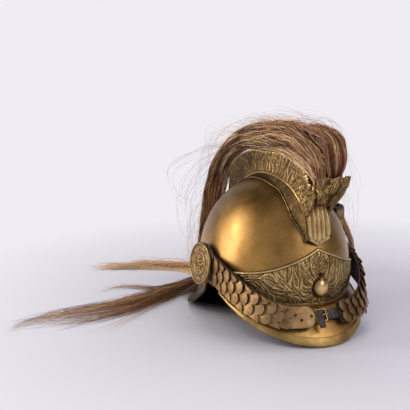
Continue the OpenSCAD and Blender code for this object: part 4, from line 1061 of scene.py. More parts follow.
@dataclass(frozen=True)
class Crest(SubAssembly):
    """The crest: two stamped sides over plain skirts, a fluted panel in front, rolled leaves by the cup.

    Its curves run over turns in degrees from the crown, positive to the front, as the model has them.
    """

    thick: float = 0.9
    rise: float = 34.0
    top: float = 15.0
    rear: float = 9.0
    back: float = 116.0
    skirt: float = 24.0
    flutes: int = 5
    flute_depth: float = 2.2
    panel: tuple[float, float, float] = (39.2, 60, 63.5)
    stroke: float = 1.5
    skirt_share: float = 0.41
    skirt_rows: int = 34

    def arch_radius(self, turn: Array) -> Array:
        """Radius of the top edge."""
        rise = [(-46, 6.6), (-29, 3), (-7, -2), (7, 4), (24, 18), (33, 25), (38, 29)]
        return BOWL_L + self.rise + over(turn, rise)

    def panel_radius(self, turn: Array) -> Array:
        """Radius of the front panel."""
        return BOWL_L + over(turn, list(zip(self.panel, (25.4, 7.6, 0.3))))

    def edge_radius(self, turn: Array) -> Array:
        """Radius of a side's top edge, with the small wing that laps the foot of the cup."""
        cut = self.back / np.sin(np.radians(np.maximum(-turn, 1.0)))
        back = np.minimum(self.arch_radius(np.full_like(turn, -46.0)), cut)
        wing = BOWL_L + over(turn, [(38.5, 62), (41, 58), (44, 46), (46, 30), (47, 12)])
        front = np.maximum(self.panel_radius(turn), wing)
        return np.where(turn > 38.5, front, np.where(turn < -47, back, self.arch_radius(turn)))

    def bead_half(self, turn: Array) -> Array:
        """Half width at the upper bead."""
        panel = self.top + 1
        rows = [(-66, self.rear + 2), (-46, self.rear + 2.5), (0, self.top - 0.5), (30, panel), (60, panel)]
        return over(turn, rows)

    def top_half(self, turn: Array) -> Array:
        """Half width at the top edge."""
        panel = self.top + 1
        middle = self.rear + (self.top - self.rear) * 0.7
        rows = [(-66, self.rear), (-46, self.rear), (0, middle), (38, self.top), (39.2, panel), (60, panel)]
        return over(turn, rows)

    def profile(self, turn: Array) -> Array:
        """Stations of the left side from the lower bead to the top edge.

        Args:
            turn: Turns in degrees.

        Returns:
            Array of turns by ten stations by three.
        """
        bead_r = dome_radius(np.array(12.0)) + over(
            turn,
            [(-66, 3), (-26, 3), (-10, 4.6), (0, 6), (12, 9.5), (27, 16), (38, 18), (47, 14.6), (56, 7.4), (60, 4)],
        )
        skirt = over(
            turn,
            [(-66, -5), (-46, -1), (-20, 2), (8, 0), (19, -3), (31, -1), (42.5, 0.5), (51.8, -4), (58.5, -8), (60, -9)],
        )
        bw = self.bead_half(turn)
        fw = np.maximum(bw + 1.6, self.skirt + skirt)
        tw, tr = self.top_half(turn), self.edge_radius(turn)
        mid = fw + (bw - fw) * 0.6
        rows = [
            (dome_radius(fw, SEAT + self.thick), fw),
            (dome_radius(fw - 1, 2.4), fw - 0.9),
            (dome_radius(fw - 2.4, 1.4), fw - 2.4),
            (dome_radius(mid, 1.4) * 0.75 + bead_r * 0.25, mid),
            (bead_r - 0.8, bw + 0.4),
            (bead_r + 0.4, bw + 1),
            (bead_r + 1.6, bw),
            ((bead_r + tr) / 2, (bw + tw) / 2 - 0.6),
            (tr - 1.6, tw - 0.2),
            (tr, tw),
        ]
        return np.stack([crest_point(turn, r, x) for r, x in rows], axis=1)

    @staticmethod
    def course(a: Array, u: Array) -> Array:
        """Direction of the strokes: upright, swaying from plume to plume.

        Args:
            a: Distance along the crest.
            u: Height above the upper bead.

        Returns:
            Directions in radians.
        """
        place = np.stack([a, u, 0 * a], axis=-1)
        return math.pi / 2 + 0.3 * np.sin(a / 8) + 0.75 * NOISE(place, 9.5) + 0.3 * NOISE(place + 9, 24)

    def dimmed_to_back(self, turns: Array, fine: Array, height: Array, patches: Array) -> Array:
        """Shade of a side: bright beads, a plain skirt with painted shade where it is concave, and strokes that darken
        to the back.

        Args:
            turns: Turn of each column.
            fine: Share of the way up of each row.
            height: Height of the strokes.
            patches: Noise that breaks up the shade.

        Returns:
            Shades from zero to one.
        """
        upper = 0.8 * np.exp(-(((fine - 0.385) / 0.02) ** 2))
        beads = 0.7 * np.exp(-(((fine - 0.025) / 0.02) ** 2)) + upper + 0.8 * (fine > 0.975)
        beads = np.where(turns[:, None] > 38.5, np.minimum(beads[None, :], 0.25), beads[None, :])
        # Painted shade: the skirt is coloured darker between turns of about 12 and 40, where it is concave
        plain = over(-turns, [(-52, 0.14), (-40, -0.02), (-12, -0.06), (0, 0.16)])[:, None]
        skirt = np.where(fine < 0.4, 1.0, 0.0)[None, :] * plain
        # The strokes are coloured darker towards the back
        dimmed_to_back = over(-turns, [(-30, 0.88), (0, 0.62), (14, 0.38), (25, 0.14), (60, 0.06)])[:, None]
        return np.clip((height * 0.75 + 0.08 + skirt + 0.1 * patches) * dimmed_to_back + beads, 0, 1)

    def build_side(self, side: Side) -> None:
        """One side: feathery upright strokes above a plain skirt between two beads.

        Args:
            side: Which side.
        """
        turns = np.linspace(60, -66, 330)
        coarse = self.profile(turns)
        share, rows = self.skirt_share, self.skirt_rows
        stops = np.array([0, 0.02, 0.05, 0.2, 0.36, 0.38, share, 0.7, 0.975, 1.0])
        fine = np.concatenate([np.linspace(0, share, rows), np.linspace(share, 1, 66)[1:]])
        k = np.clip(np.searchsorted(stops, fine, "right") - 1, 0, len(stops) - 2)
        w = ((fine - stops[k]) / (stops[k + 1] - stops[k]))[None, :, None]
        base = coarse[:, k] * (1 - w) + coarse[:, k + 1] * w
        tall = np.linalg.norm(base - base[:, rows - 1 : rows], axis=-1) * np.where(fine > share, 1, 0)[None, :]
        height_of = np.linalg.norm(coarse[:, 9] - coarse[:, 6], axis=-1)
        run = np.concatenate([[0], np.cumsum(np.linalg.norm(np.diff(coarse[:, 8], axis=0), axis=-1))])
        relief = Relief(np.broadcast_to(run[:, None], tall.shape), tall)
        relief.comb(self.course, 7, self.stroke)
        height = relief.height * np.clip(tall / 1.5, 0, 1) * np.clip((height_of[:, None] - tall) / 1.5, 0, 1)
        height = height * (turns < 47)[:, None]
        base = base * np.array([side.value, 1, 1])
        sign = 1.0 if (normals_of(base)[..., 0] * side.value).mean() > 0 else -1.0
        outer = base + normals_of(base) * sign * (height + 0.1 * NOISE(base, 1.6))[..., None]
        shade = self.dimmed_to_back(turns, fine, height, NOISE(base, 9))
        name = f"crest_{side.name.lower()}"
        mesh = plate_mesh(f"{name}_leaves", stood(outer), self.thick * sign, shade, flip=sign < 0)
        self.put(new_object(mesh.name, mesh), Slot.RELIEF_BRASS, [f"{name}_side"])

    def build_panel(self) -> None:
        """The fluted panel at the crest's front, running down to a V."""
        top, corner, tip = self.panel
        half = self.top + 1
        x = np.linspace(-half, half, 141)[:, None]
        f = np.linspace(0, 1, 130)[None, :]
        foot = tip + (corner - tip) * np.abs(x) / half
        turn = foot + (top - foot) * f
        ramp = np.clip((f - 0.05) / 0.04, 0, 1) * np.clip((0.95 - f) / 0.04, 0, 1)
        wave = 0.5 - 0.5 * np.cos(2 * np.pi * self.flutes * (x / half + 1) / 2)
        ridge = self.flute_depth * ramp * wave**0.8
        side_rim = 0.9 * np.exp(-(((half - np.abs(x) - 1.2) / 0.9) ** 2)) * (f < 0.95)
        rim = 0.9 * np.exp(-(((f * 46 - 1.6) / 1.0) ** 2)) + side_rim
        radius = self.panel_radius(turn) + 2.5 * SEAT + self.thick + ridge + rim * 0.5
        grid = crest_point(turn, radius, x * (1 + 0.05 * f))
        grid = grid + 0.12 * NOISE(grid, 6)[..., None] * np.array([0, -1, 0.3])
        sign = outward_sign(grid)
        shade = np.clip(0.67 + 0.55 * wave * ramp + rim + 0.1 * NOISE(grid, 8), 0, 1)
        mesh = plate_mesh("crest_front_flutes", stood(grid), self.thick * sign, shade, flip=sign < 0)
        self.put(new_object(mesh.name, mesh), Slot.RELIEF_BRASS, ["crest_front_panel"])

    def build_leaves(self) -> None:
        """The rolled leaves along the crest's top edge and round the foot of the cup."""
        f = np.linspace(0, 1, 9)
        turn = 23 + 17.5 * f
        radius = BOWL_L + 45 + 4 * f + 3 * np.sin(np.pi * f)
        thick = 2 * (0.7 + 0.3 * f)
        edge = crest_point(turn, radius, self.top_half(np.minimum(turn, 38)) + SEAT + thick + 0.5 * f)
        wide = 1.4 + 4.4 * np.sin(np.pi * np.minimum(f * 0.75 + 0.08, 1))
        foot_turn = over(f, [(0, 39), (0.4, 43.5), (0.75, 46), (1, 47.8)])
        foot = crest_point(foot_turn, BOWL_L + over(f, [(0, 57), (0.4, 47), (0.75, 31), (1, 15)]), 15.4 + 0 * f)
        u = np.linspace(0, 1, 90)[:, None]
        a = np.linspace(0, 2 * np.pi, 64, endpoint=False)[None, :]
        ends = np.clip(np.minimum(u, 1 - u) * 12, 0.05, 1) ** 0.5
        strips = (
            (edge, thick, wide, (0, -0.5, 0.87), 3.6),
            (foot, 1.7 + 0 * f, 3.3 - 0.8 * f, (0, -0.95, 0.3), 5.2),
        )
        parts = []
        for middle, half, reach, across, count in strips:
            flow = Flow.through(list(zip(middle, half, reach)), across)
            lobes = 0.72 + 0.42 * np.abs(np.sin(np.pi * (u * count + 0.12 * np.sin(a)))) ** 0.6
            waves = u * count * 3 - 0.8 * np.abs(np.sin(a)) + 0.3 * np.sin(u * 17)
            curl = 0.5 + 0.5 * np.cos(2 * np.pi * waves)
            swell = ends * (0.92 + 0.16 * curl)
            rings = flow.at(u + 0 * a, swell * 1.25 * np.cos(a), swell * lobes * 1.15 * np.sin(a))
            shade = 0.12 + 0.38 * curl + 0.4 * (lobes - 0.72) + 0.2 * NOISE(rings, 4)
            for side in Side:
                rings_there = stood(rings * np.array([side.value, 1, 1]))
                parts.append(closed_profile(f"leaf_{count}_{side.value}", rings_there, shade))
        mesh = joined("crest_rolled_leaves", parts)
        self.put(new_object(mesh.name, mesh), Slot.RELIEF_BRASS, ["crest_leaves"])


@dataclass(frozen=True)
class TuftCup(SubAssembly):
    """The cup as an open prow of lobed leaves with raised ribs and a beaded lip."""

    half_width: float = 14.0
    half_length: float = 23.5
    thick: float = 1.4
    mouth: float = 172.5
    around: int = 288
    seed: int = 19

    def build(self) -> None:
        """Make the piece."""
        rx, ry, t, mouth = self.half_width, self.half_length, self.thick, self.mouth
        stations = np.array(
            [
                (mouth - 40.4, -108.2, 0.72 * rx, 0.5 * ry, 0, 0),
                (mouth - 36.2, -114, 0.86 * rx, 0.8 * ry, 1.5, 0),
                (mouth - 23, -125.5, 0.93 * rx, 0.83 * ry, 3, 0),
                (mouth - 10.5, -134, 0.97 * rx, 0.88 * ry, 4.5, 0),
                (mouth - 1.2, -137.2, 0.995 * rx, 0.9 * ry, 6.3, 1.0),
                (mouth + 0.2, -137.5, rx - 0.5 * t, ry * 0.9 - 0.5 * t, 6.5, 1.2),
                (mouth - 1.2, -137.2, rx - t, 0.9 * ry - t, 6.3, 1.0),
                (mouth - 10.5, -134, 0.97 * rx - t, 0.88 * ry - t, 4.5, 0),
                (mouth - 23, -125.5, 0.93 * rx - t, 0.83 * ry - t, 3, 0),
                (mouth - 34.7, -115, 0.86 * rx - t, 0.8 * ry - t, 1.5, 0),
            ]
        )
        u, ring = through_stations(stations, [4, 14, 12, 10, 3, 3, 4, 4, 4])
        a = np.linspace(0, 2 * np.pi, self.around, endpoint=False)[None, :]
        z, y, ax, ay, tilt, lip = (ring[:, i][:, None] for i in range(6))
        leaves = np.cos(8 * a)
        scale = 1 + 0.045 * leaves
        prow = 1 - 0.4 * tilt / 6.5 * np.maximum(0, -np.sin(a))
        rear = np.sin(a) > 0
        square = np.where(rear, np.sign(np.cos(a)) * np.abs(np.cos(a)) ** 0.12, np.cos(a))
        longer = np.where(rear, 5.0 * np.clip((z - 138) / 10, 0, 1), 0)
        turned = np.clip(np.sin(a) * 2.5, 0, 1) * np.clip((z - 134) / 6, 0, 1)
        across = (ax + (14.7 - ax) * turned) * scale * prow * square
        grid = np.stack([across, y + (ay * scale + longer) * np.sin(a), z + lip * leaves - tilt * np.sin(a)], axis=-1)
        outside = (u < 5)[:, None]
        f = np.clip(u / 5, 0, 1)[:, None]
        sheet = (len(u), self.around)
        relief = Relief(np.broadcast_to(a * 18.0, sheet), np.broadcast_to(f * 52.0, sheet), 2.6)
        rng = np.random.default_rng(self.seed)
        for level in (34, 23, 12, 2):
            for k in range(-1, 11):
                course = math.pi / 2 + 0.5 * math.sin(k * 1.9 + level) + 0.15 * rng.standard_normal()
                foot, length = (k * 11.8 + level * 0.5, level), rng.uniform(17, 22)
                relief.leaf(foot, course, length, 6.5, 1.0, rng.uniform(-0.4, 0.4))
        lip_bead = np.exp(-(((f - 0.93) / 0.03) ** 2))
        leaves_there = relief.height * np.clip((0.9 - f) * 12, 0, 1)
        height = np.where(outside, np.maximum(leaves_there, lip_bead) * np.clip(f * 6, 0, 1), 0)
        radial = np.concatenate([np.cos(a), np.sin(a), 0 * a]).T[None]
        grid = grid + radial * height[..., None]
        shade = np.clip(np.where(outside, 0.1 + 0.8 * height, 0.12), 0, 1)
        mesh = closed_profile("tuft_cup_leaves", stood(grid), shade + 0 * a)
        self.put(new_object(mesh.name, mesh), Slot.RELIEF_BRASS, ["tuft_cup"])


@dataclass(frozen=True)
class Rosette(SubAssembly):
    """A cast rosette with a smooth rim, a granular ground, petals and a boss, on its stud."""

    side: Side
    radius: float = 28.0
    ear: tuple[float, float] = (8.1, 29.2)
    x: float = 106.997
    lean: float = math.radians(8)
    stud_radius: float = 2.5
    stud_in: float = 86.0355
    around: int = 220

    def disc(self) -> tuple[Array, Array]:
        """The cast disc, flat.

        Returns:
            Rings of points by across, up and out, and their shade.
        """
        r = self.radius
        profile = np.array(
            [
                (0.05, -1.5), (r * 0.5, -1.5), (r - 0.6, -1.5), (r, -0.9), (r, 0.9), (r - 0.7, 1.5), (r - 2.4, 1.5),
                (r - 3.4, 0.5), (r * 0.6, 0.7), (r * 0.57, 1.6), (r * 0.5, 1.7), (r * 0.46, 0.7), (r * 0.24, 0.8),
                (r * 0.2, 1.6), (r * 0.12, 4.0), (0.05, 4.6),
            ]
        )
        u, sizes = through_stations(profile, [2, 2, 2, 3, 3, 4, 4, 26, 4, 4, 4, 10, 4, 6, 6])
        radius, level = sizes[:, 0, None], sizes[:, 1, None]
        a = np.linspace(0, 2 * np.pi, self.around, endpoint=False)[None, :]
        flat = np.stack([radius * np.cos(a), radius * np.sin(a), level + 0 * a], axis=-1)
        ground = ((u > 7) & (u < 8))[:, None] | ((u > 10) & (u < 12))[:, None]
        q = ((a * 8 / (2 * np.pi) + 0.5) % 1 - 0.5) / 0.42
        along = (radius - r * 0.74) / (r * 0.15)
        petal = np.sqrt(np.clip(1 - q**2 - along**2, 0, 1)) * 0.8
        flat_place = flat * np.array([1, 1, 0])
        lumps = 0.55 * NOISE(flat_place + 40, 2.6) + 0.45 * NOISE(flat_place, 1.4)
        berries = ((a * 7 / (2 * np.pi)) % 1 - 0.5) / 0.4
        bead = np.sqrt(np.clip(1 - berries**2 - ((radius - r * 0.2) / 2.3) ** 2, 0, 1)) * 2.0
        grain = np.where(ground, 0.75 * np.clip(lumps + 0.35, 0, 1), 0.05 * lumps)
        lift = np.where(level > 0.2, np.maximum(petal * (0.7 + 0.5 * lumps), grain) + bead, 0)
        flat[..., 2] += lift
        shade = np.clip(0.22 + lift * 0.6 + 0.4 * (radius > r - 2.8) + 0.35 * (np.abs(radius - r * 0.53) < 1.4), 0, 1)
        return flat, shade + 0 * a

    def build(self) -> None:
        """Make the piece."""
        flat, shade = self.disc()
        axis = np.array([math.cos(self.lean), 0, math.sin(self.lean)])
        up = np.array([-math.sin(self.lean), 0, math.cos(self.lean)])
        middle = np.array([self.x, *self.ear])
        grid = middle + flat[..., 0:1] * np.array([0, 1, 0]) + flat[..., 1:2] * up + flat[..., 2:3] * axis
        a = np.linspace(0, 2 * np.pi, self.around, endpoint=False)
        ring = np.stack([0 * a, self.stud_radius * np.cos(a), self.stud_radius * np.sin(a)], axis=-1)
        stud = np.stack([np.array([x, *self.ear]) + ring for x in np.linspace(self.stud_in, self.x - 0.5, 8)])
        parts = []
        for rings, tone, label in ((grid, shade, "disc"), (stud, np.full(stud.shape[:2], 0.3), "stud")):
            rings_there = stood(rings * np.array([self.side.value, 1, 1]))
            parts.append(closed_profile(f"rosette_{label}_{self.side.value}", rings_there, tone))
        node = f"{self.side.name.lower()}_rosette"
        mesh = joined(f"{node}_cast", parts)
        self.put(new_object(mesh.name, mesh), Slot.RELIEF_BRASS, [node])


@dataclass(frozen=True)
class PackedParts(SubAssembly):
    """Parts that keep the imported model's shapes: smoothed sheets, and castings that only need a finish."""

    crease: float = math.radians(38)

    def refine(
        self, node: str, slot: Slot, body: Body = Body.HELMET, dent: float = 0.0, dent_size: float = 30.0
    ) -> None:
        """A smooth, slightly uneven copy of a CAD node, which it replaces.

        Args:
            node: The CAD node.
            slot: Its material slot.
            body: The body that carries it.
            dent: How far the sheet is knocked out of true.
            dent_size: Distance between dents.
        """
        bm = bmesh.new()
        bm.from_mesh(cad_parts[node].data)
        bmesh.ops.remove_doubles(bm, verts=bm.verts, dist=1e-5)
        flat, square = math.radians(25), math.radians(70)
        bmesh.ops.join_triangles(bm, faces=bm.faces, angle_face_threshold=flat, angle_shape_threshold=square)
        crease = bm.edges.layers.float.new("crease_edge")
        for edge in bm.edges:
            if len(edge.link_faces) != 2 or edge.calc_face_angle(0.0) > self.crease:
                edge[crease] = 0.9
        mesh = bpy.data.meshes.new(f"{node}_refined")
        bm.to_mesh(mesh)
        bm.free()
        obj = new_object(mesh.name, mesh)
        modifier = obj.modifiers.new("smooth", "SUBSURF")
        modifier.levels = modifier.render_levels = 2
        graph = bpy.context.evaluated_depsgraph_get()
        smooth = bpy.data.meshes.new_from_object(obj.evaluated_get(graph))
        obj.modifiers.clear()
        obj.data = smooth
        smooth.name = obj.name
        if dent:
            points = np.empty(len(smooth.vertices) * 3, np.float32)
            smooth.vertices.foreach_get("co", points)
            points = points.reshape(-1, 3) * 1000
            out = points / np.linalg.norm(points, axis=1, keepdims=True)
            points += out * (NOISE(points, dent_size) * dent)[:, None]
            smooth.vertices.foreach_set("co", (points / 1000).ravel())
        smooth.shade_smooth()
        smooth.set_sharp_from_angle(angle=SHARP)
        self.put(obj, slot, [node], body)

    def dress(self, node: str, slot: Slot) -> None:
        """Give a CAD node that stays its real material.

        Args:
            node: The node.
            slot: Its material slot.
        """
        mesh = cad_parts[node].data
        mesh.materials.clear()
        mesh.materials.append(self.finishes[slot])
        mesh.shade_smooth()
        mesh.set_sharp_from_angle(angle=SHARP)

    def build(self) -> None:
        """Make and dress all of them."""
        for brim in ("visor", "neck_guard"):
            self.refine(brim, Slot.BOWL_BRASS, dent=0.25)
            self.refine(f"{brim}_edging", Slot.EDGING_BRASS, dent=0.35, dent_size=16)
            self.refine(f"{brim}_lining", Slot.BLACK_LEATHER, dent=0.2)
        for side in ("left", "right"):
            self.refine(f"{side}_chin_leather", Slot.BLACK_LEATHER, Body.CHAIN)
        self.refine("right_end_plate", Slot.SCALE_BRASS, Body.CHAIN)
        self.refine("buckle_strap", Slot.BLACK_LEATHER, Body.CHAIN)
        for slot, nodes in KEPT.items():
            for node in nodes:
                self.dress(node, slot)


KEPT = {
    Slot.GRENADE_BRASS: ("grenade",),
    Slot.RELIEF_BRASS: ("crest_back_plate", "end_plate_rivets"),
    Slot.IRON: ("crest_bolts", "crest_nuts", "rosette_nuts", "rosette_washers", "ear_spacers"),
    Slot.FITTING_BRASS: (
        "tuft_ferrule", "visor_rivets", "neck_guard_rivets", "right_chain_head", "left_chain_head",
        "plume_socket", "plume_socket_foot", "plume_socket_rivets",
    ),
    Slot.SCALE_BRASS: ("right_chin_scales", "left_chin_scales"),
    Slot.BUCKLE_BRASS: ("buckle_frame", "buckle_tab", "buckle_prong"),
    Slot.BLACK_LEATHER: ("plume_socket_liner",),
    Slot.LINER_LEATHER: ("mane_carrier", "headband", "liner_tongues", "liner_lace"),
}


# Hair

# Width of a lock lies across the helmet, or along it
ACROSS, ALONG = (1, 0, 0), (0, 1, 0)


@dataclass(frozen=True)
class Flow:
    """The course of a lock of hair: its middle, its half thickness and its half width along its length."""

    middle: Array
    thick: Array
    wide: Array
    side: Array

    @staticmethod
    def through(stations: Sequence[tuple[Sequence[float], float, float]], side: Sequence[float]) -> "Flow":
        """A smooth course through stations, sampled at sixty places.

        Args:
            stations: Place, half thickness and half width of each.
            side: Direction of the width.

        Returns:
            The course.
        """
        points = np.array([s[0] for s in stations], float)
        sizes = np.array([[s[1], s[2]] for s in stations], float)
        run = np.concatenate([[0], np.cumsum(np.linalg.norm(np.diff(points, axis=0), axis=1))])
        data = np.concatenate([points, sizes], axis=1)
        slopes = np.gradient(data, run, axis=0)
        u = np.linspace(0, run[-1], 60)
        k = np.clip(np.searchsorted(run, u, "right") - 1, 0, len(run) - 2)
        gap = (run[k + 1] - run[k])[:, None]
        f = (u - run[k])[:, None] / gap
        smooth = (
            (1 + 2 * f) * (1 - f) ** 2 * data[k]
            + f * (1 - f) ** 2 * gap * slopes[k]
            + f**2 * (3 - 2 * f) * data[k + 1]
            + f**2 * (f - 1) * gap * slopes[k + 1]
        )
        return Flow(smooth[:, :3], smooth[:, 3], smooth[:, 4], np.asarray(side, float))

    def at(self, u: Array, thick: Array, wide: Array) -> Array:
        """Points in the lock.

        Args:
            u: Share of the way along, from zero to one.
            thick: Place through the thickness, from minus one to one.
            wide: Place across the width, from minus one to one.

        Returns:
            Points of the arguments' shape by three.
        """
        n = len(self.middle)
        run = np.gradient(self.middle, axis=0)
        run /= np.linalg.norm(run, axis=1, keepdims=True)
        normal = np.cross(self.side, run)
        normal /= np.linalg.norm(normal, axis=1, keepdims=True)
        across = np.cross(run, normal)
        place = np.clip(u, 0, 1) * (n - 1)
        index = np.arange(n)

        def pick(values: Array) -> Array:
            """Values at the places, each column by itself."""
            return np.stack([np.interp(place, index, values[:, i]) for i in range(values.shape[1])], axis=-1)

        sizes = pick(np.stack([self.thick, self.wide], axis=1))
        through, sideways = (thick * sizes[..., 0])[..., None], (wide * sizes[..., 1])[..., None]
        return pick(self.middle) + pick(normal) * through + pick(across) * sideways


class HairBuilder:
    """Gathers single hairs as thin three-sided tubes and dark cores under them."""

    TIP = 0.35

    def __init__(self, seed: int) -> None:
        """Start empty.

        Args:
            seed: Start of the random numbers.
        """
        self.rng = np.random.default_rng(seed)
        self._points: list[Array] = []
        self._quads: list[Array] = []
        self._tone: list[Array] = []
        self._red: list[Array] = []
        self._count = 0

    def _add(self, points: Array, quads: Array, tone: Array, red: Array) -> None:
        """Keep one batch of vertices and faces.

        Args:
            points: Vertices.
            quads: Faces, counted from the batch's first vertex.
            tone: Tone of each vertex.
            red: Redness of each vertex.
        """
        self._points.append(points.reshape(-1, 3))
        self._quads.append(quads + self._count)
        self._tone.append(tone.ravel())
        self._red.append(red.ravel())
        self._count += len(self._points[-1])

    def strands(
        self, paths: Array, radius: Array, tone: Array, red: Optional[Array] = None, fade: float = 0.0
    ) -> None:
        """Add single hairs.

        Args:
            paths: Hairs by points by three, in the row frame, in millimetres.
            radius: One radius per hair.
            tone: One tone per hair.
            red: Which hairs are red, one value per hair.
            fade: How much fairer the tips are.
        """
        count, steps, _ = paths.shape
        run = np.gradient(paths, axis=1)
        run /= np.maximum(np.linalg.norm(run, axis=2, keepdims=True), 1e-9)
        guide = np.array([0.31, 0.22, 0.92])
        a = np.cross(run, guide)
        a /= np.maximum(np.linalg.norm(a, axis=2, keepdims=True), 1e-6)
        b = np.cross(run, a)
        taper = 1 - (1 - self.TIP) * np.linspace(0, 1, steps) ** 3
        r = (radius[:, None] * taper[None, :])[..., None]
        turns = (0, 2 * math.pi / 3, 4 * math.pi / 3)
        rings = np.stack([paths + r * (math.cos(t) * a + math.sin(t) * b) for t in turns], axis=2)
        single = grid_quads(steps, 3, around=True)
        quads = (single[None] + (np.arange(count) * steps * 3)[:, None, None]).reshape(-1, 4)
        along = np.linspace(-0.5, 0.5, steps)[None, :, None]
        lighter = along * (fade + 0.15 * self.rng.standard_normal((count, 1, 1)))
        shade = tone[:, None, None] + lighter + np.zeros((count, steps, 3))
        reds = np.zeros(count) if red is None else red
        self._add(rings, quads, shade, np.broadcast_to(reds[:, None, None], (count, steps, 3)))

    def fill(
        self, flow: Flow, count: int, steps: int, radius: float, tone: Callable[[Array, Array], Array],
        start: Span = (0, 0), end: Span = (1, 1), clumps: int = 40, frizz: float = 1.2, red: float = 0.0,
        rooted: float = 0.0, fray: float = 0.0, fade: float = 0.0,
    ) -> None:
        """Fill a lock with hairs that gather in clumps.

        Args:
            flow: The lock's course.
            count: Number of hairs.
            steps: Points of each hair.
            radius: Mean radius of a hair.
            tone: Tone from the place through the thickness and across the width.
            start: Range of the hairs' first share along the lock.
            end: Range of their last share.
            clumps: Number of clumps.
            frizz: How far hairs wander, in millimetres.
            red: Share of red hairs.
            rooted: How far hairs start from the lock's underside, as a share of its thickness.
            fray: How far clumps and hairs part towards their tips, in millimetres.
            fade: How much fairer the tips are.
        """
        rng = self.rng
        core_r = np.sqrt(rng.random(clumps))
        core_a = rng.random(clumps) * 2 * np.pi
        which = rng.integers(0, clumps, count)
        loose = 0.13 * rng.standard_normal((count, 2))
        thick = np.clip(core_r * np.cos(core_a), -1, 1)[which] + loose[:, 0]
        wide = np.clip(core_r * np.sin(core_a), -1, 1)[which] + loose[:, 1]
        size = np.maximum(1, np.hypot(thick, wide))
        thick, wide = thick / size, wide / size
        u0 = rng.uniform(*start, count)
        u1 = rng.uniform(*end, count)
        t = np.linspace(0, 1, steps)[None, :]
        u = u0[:, None] + (u1 - u0)[:, None] * t
        gather = 1 - 0.35 * np.clip((t - 0.6) / 0.4, 0, 1) * (rng.random((count, 1)) < 0.7)
        rise = 1 - rooted * np.clip(1 - t / 0.35, 0, 1) ** 1.5
        sway = u * rng.uniform(1, 2.2, (clumps, 1))[which] + rng.random((clumps, 1))[which]
        drift = 0.18 * np.sin(2 * np.pi * sway)
        lay = thick[:, None] * gather
        lay = lay * rise - (1 - rise)
        across = wide[:, None] * gather + drift * (1 - np.abs(wide[:, None])) * 1.4
        paths = flow.at(u, np.clip(lay + 0.5 * drift * (1 - np.abs(lay)), -1.02, 1.02), np.clip(across, -1.02, 1.02))
        offset = rng.random((count, 1, 3)) * 400
        paths = paths + noise_field(paths * 0.6 + offset, 22.0, 50) * frizz * np.clip(t * 3, 0.15, 1)[..., None]
        part = rng.standard_normal((clumps, 1, 3))[which] + 0.4 * rng.standard_normal((count, 1, 3))
        paths = paths + part * np.array([0.6, 1.0, 0.25]) * fray * (t**1.6)[..., None]
        paths[..., 2] = np.maximum(paths[..., 2], FLOOR_Z + 0.35)
        shade = tone(thick, wide) + 0.17 * rng.standard_normal(count) + 0.33 * rng.standard_normal(clumps)[which]
        radii = radius * rng.uniform(0.75, 1.3, count)
        self.strands(paths, radii, shade, (rng.random(count) < red).astype(float), fade)

    def core(self, flow: Flow, share: float, tone: float, start: float = 0.0, end: float = 1.0) -> None:
        """Add a streaked solid under the hairs so that a lock isn't seen through.

        Args:
            flow: The lock's course.
            share: Share of the lock's section that it fills.
            tone: Mean tone.
            start: Share along the lock where it starts.
            end: Share along the lock where it ends.
        """
        rows, sides = 60, 72
        a = np.linspace(0, 2 * np.pi, sides, endpoint=False)[None, :]
        u = np.linspace(start, end, rows)[:, None]
        streak = NOISE(np.stack([np.cos(a) * 30 + 0 * u, np.sin(a) * 30 + 0 * u, u * 60 + 0 * a], axis=-1), 2.6)
        close = np.clip(np.minimum(u - start, end - u) * 14, 0.02, 1) ** 0.5
        section = share * close * (1 + 0.16 * streak)
        grid = flow.at(u + 0 * a, section * np.cos(a), section * np.sin(a))
        grid[..., 2] = np.maximum(grid[..., 2], FLOOR_Z + 0.5)
        self._add(grid, grid_quads(rows, sides, around=True), tone + 0.25 * streak, 0 * streak)

    def mesh(self, name: str) -> bpy.types.Mesh:
        """The mesh of everything gathered so far.

        Args:
            name: Its name.

        Returns:
            The mesh.
        """
        points, quads = np.concatenate(self._points), np.concatenate(self._quads)
        return mesh_of(name, points, quads, tone=np.concatenate(self._tone), red=np.concatenate(self._red))


def side_view(points: Rows) -> list[tuple[Array, float, float]]:
    """Stations from rows of x, y, z, half thickness and half width in the helmet's frame."""
    return [(stood(np.array(p[:3])), p[3], p[4]) for p in points]


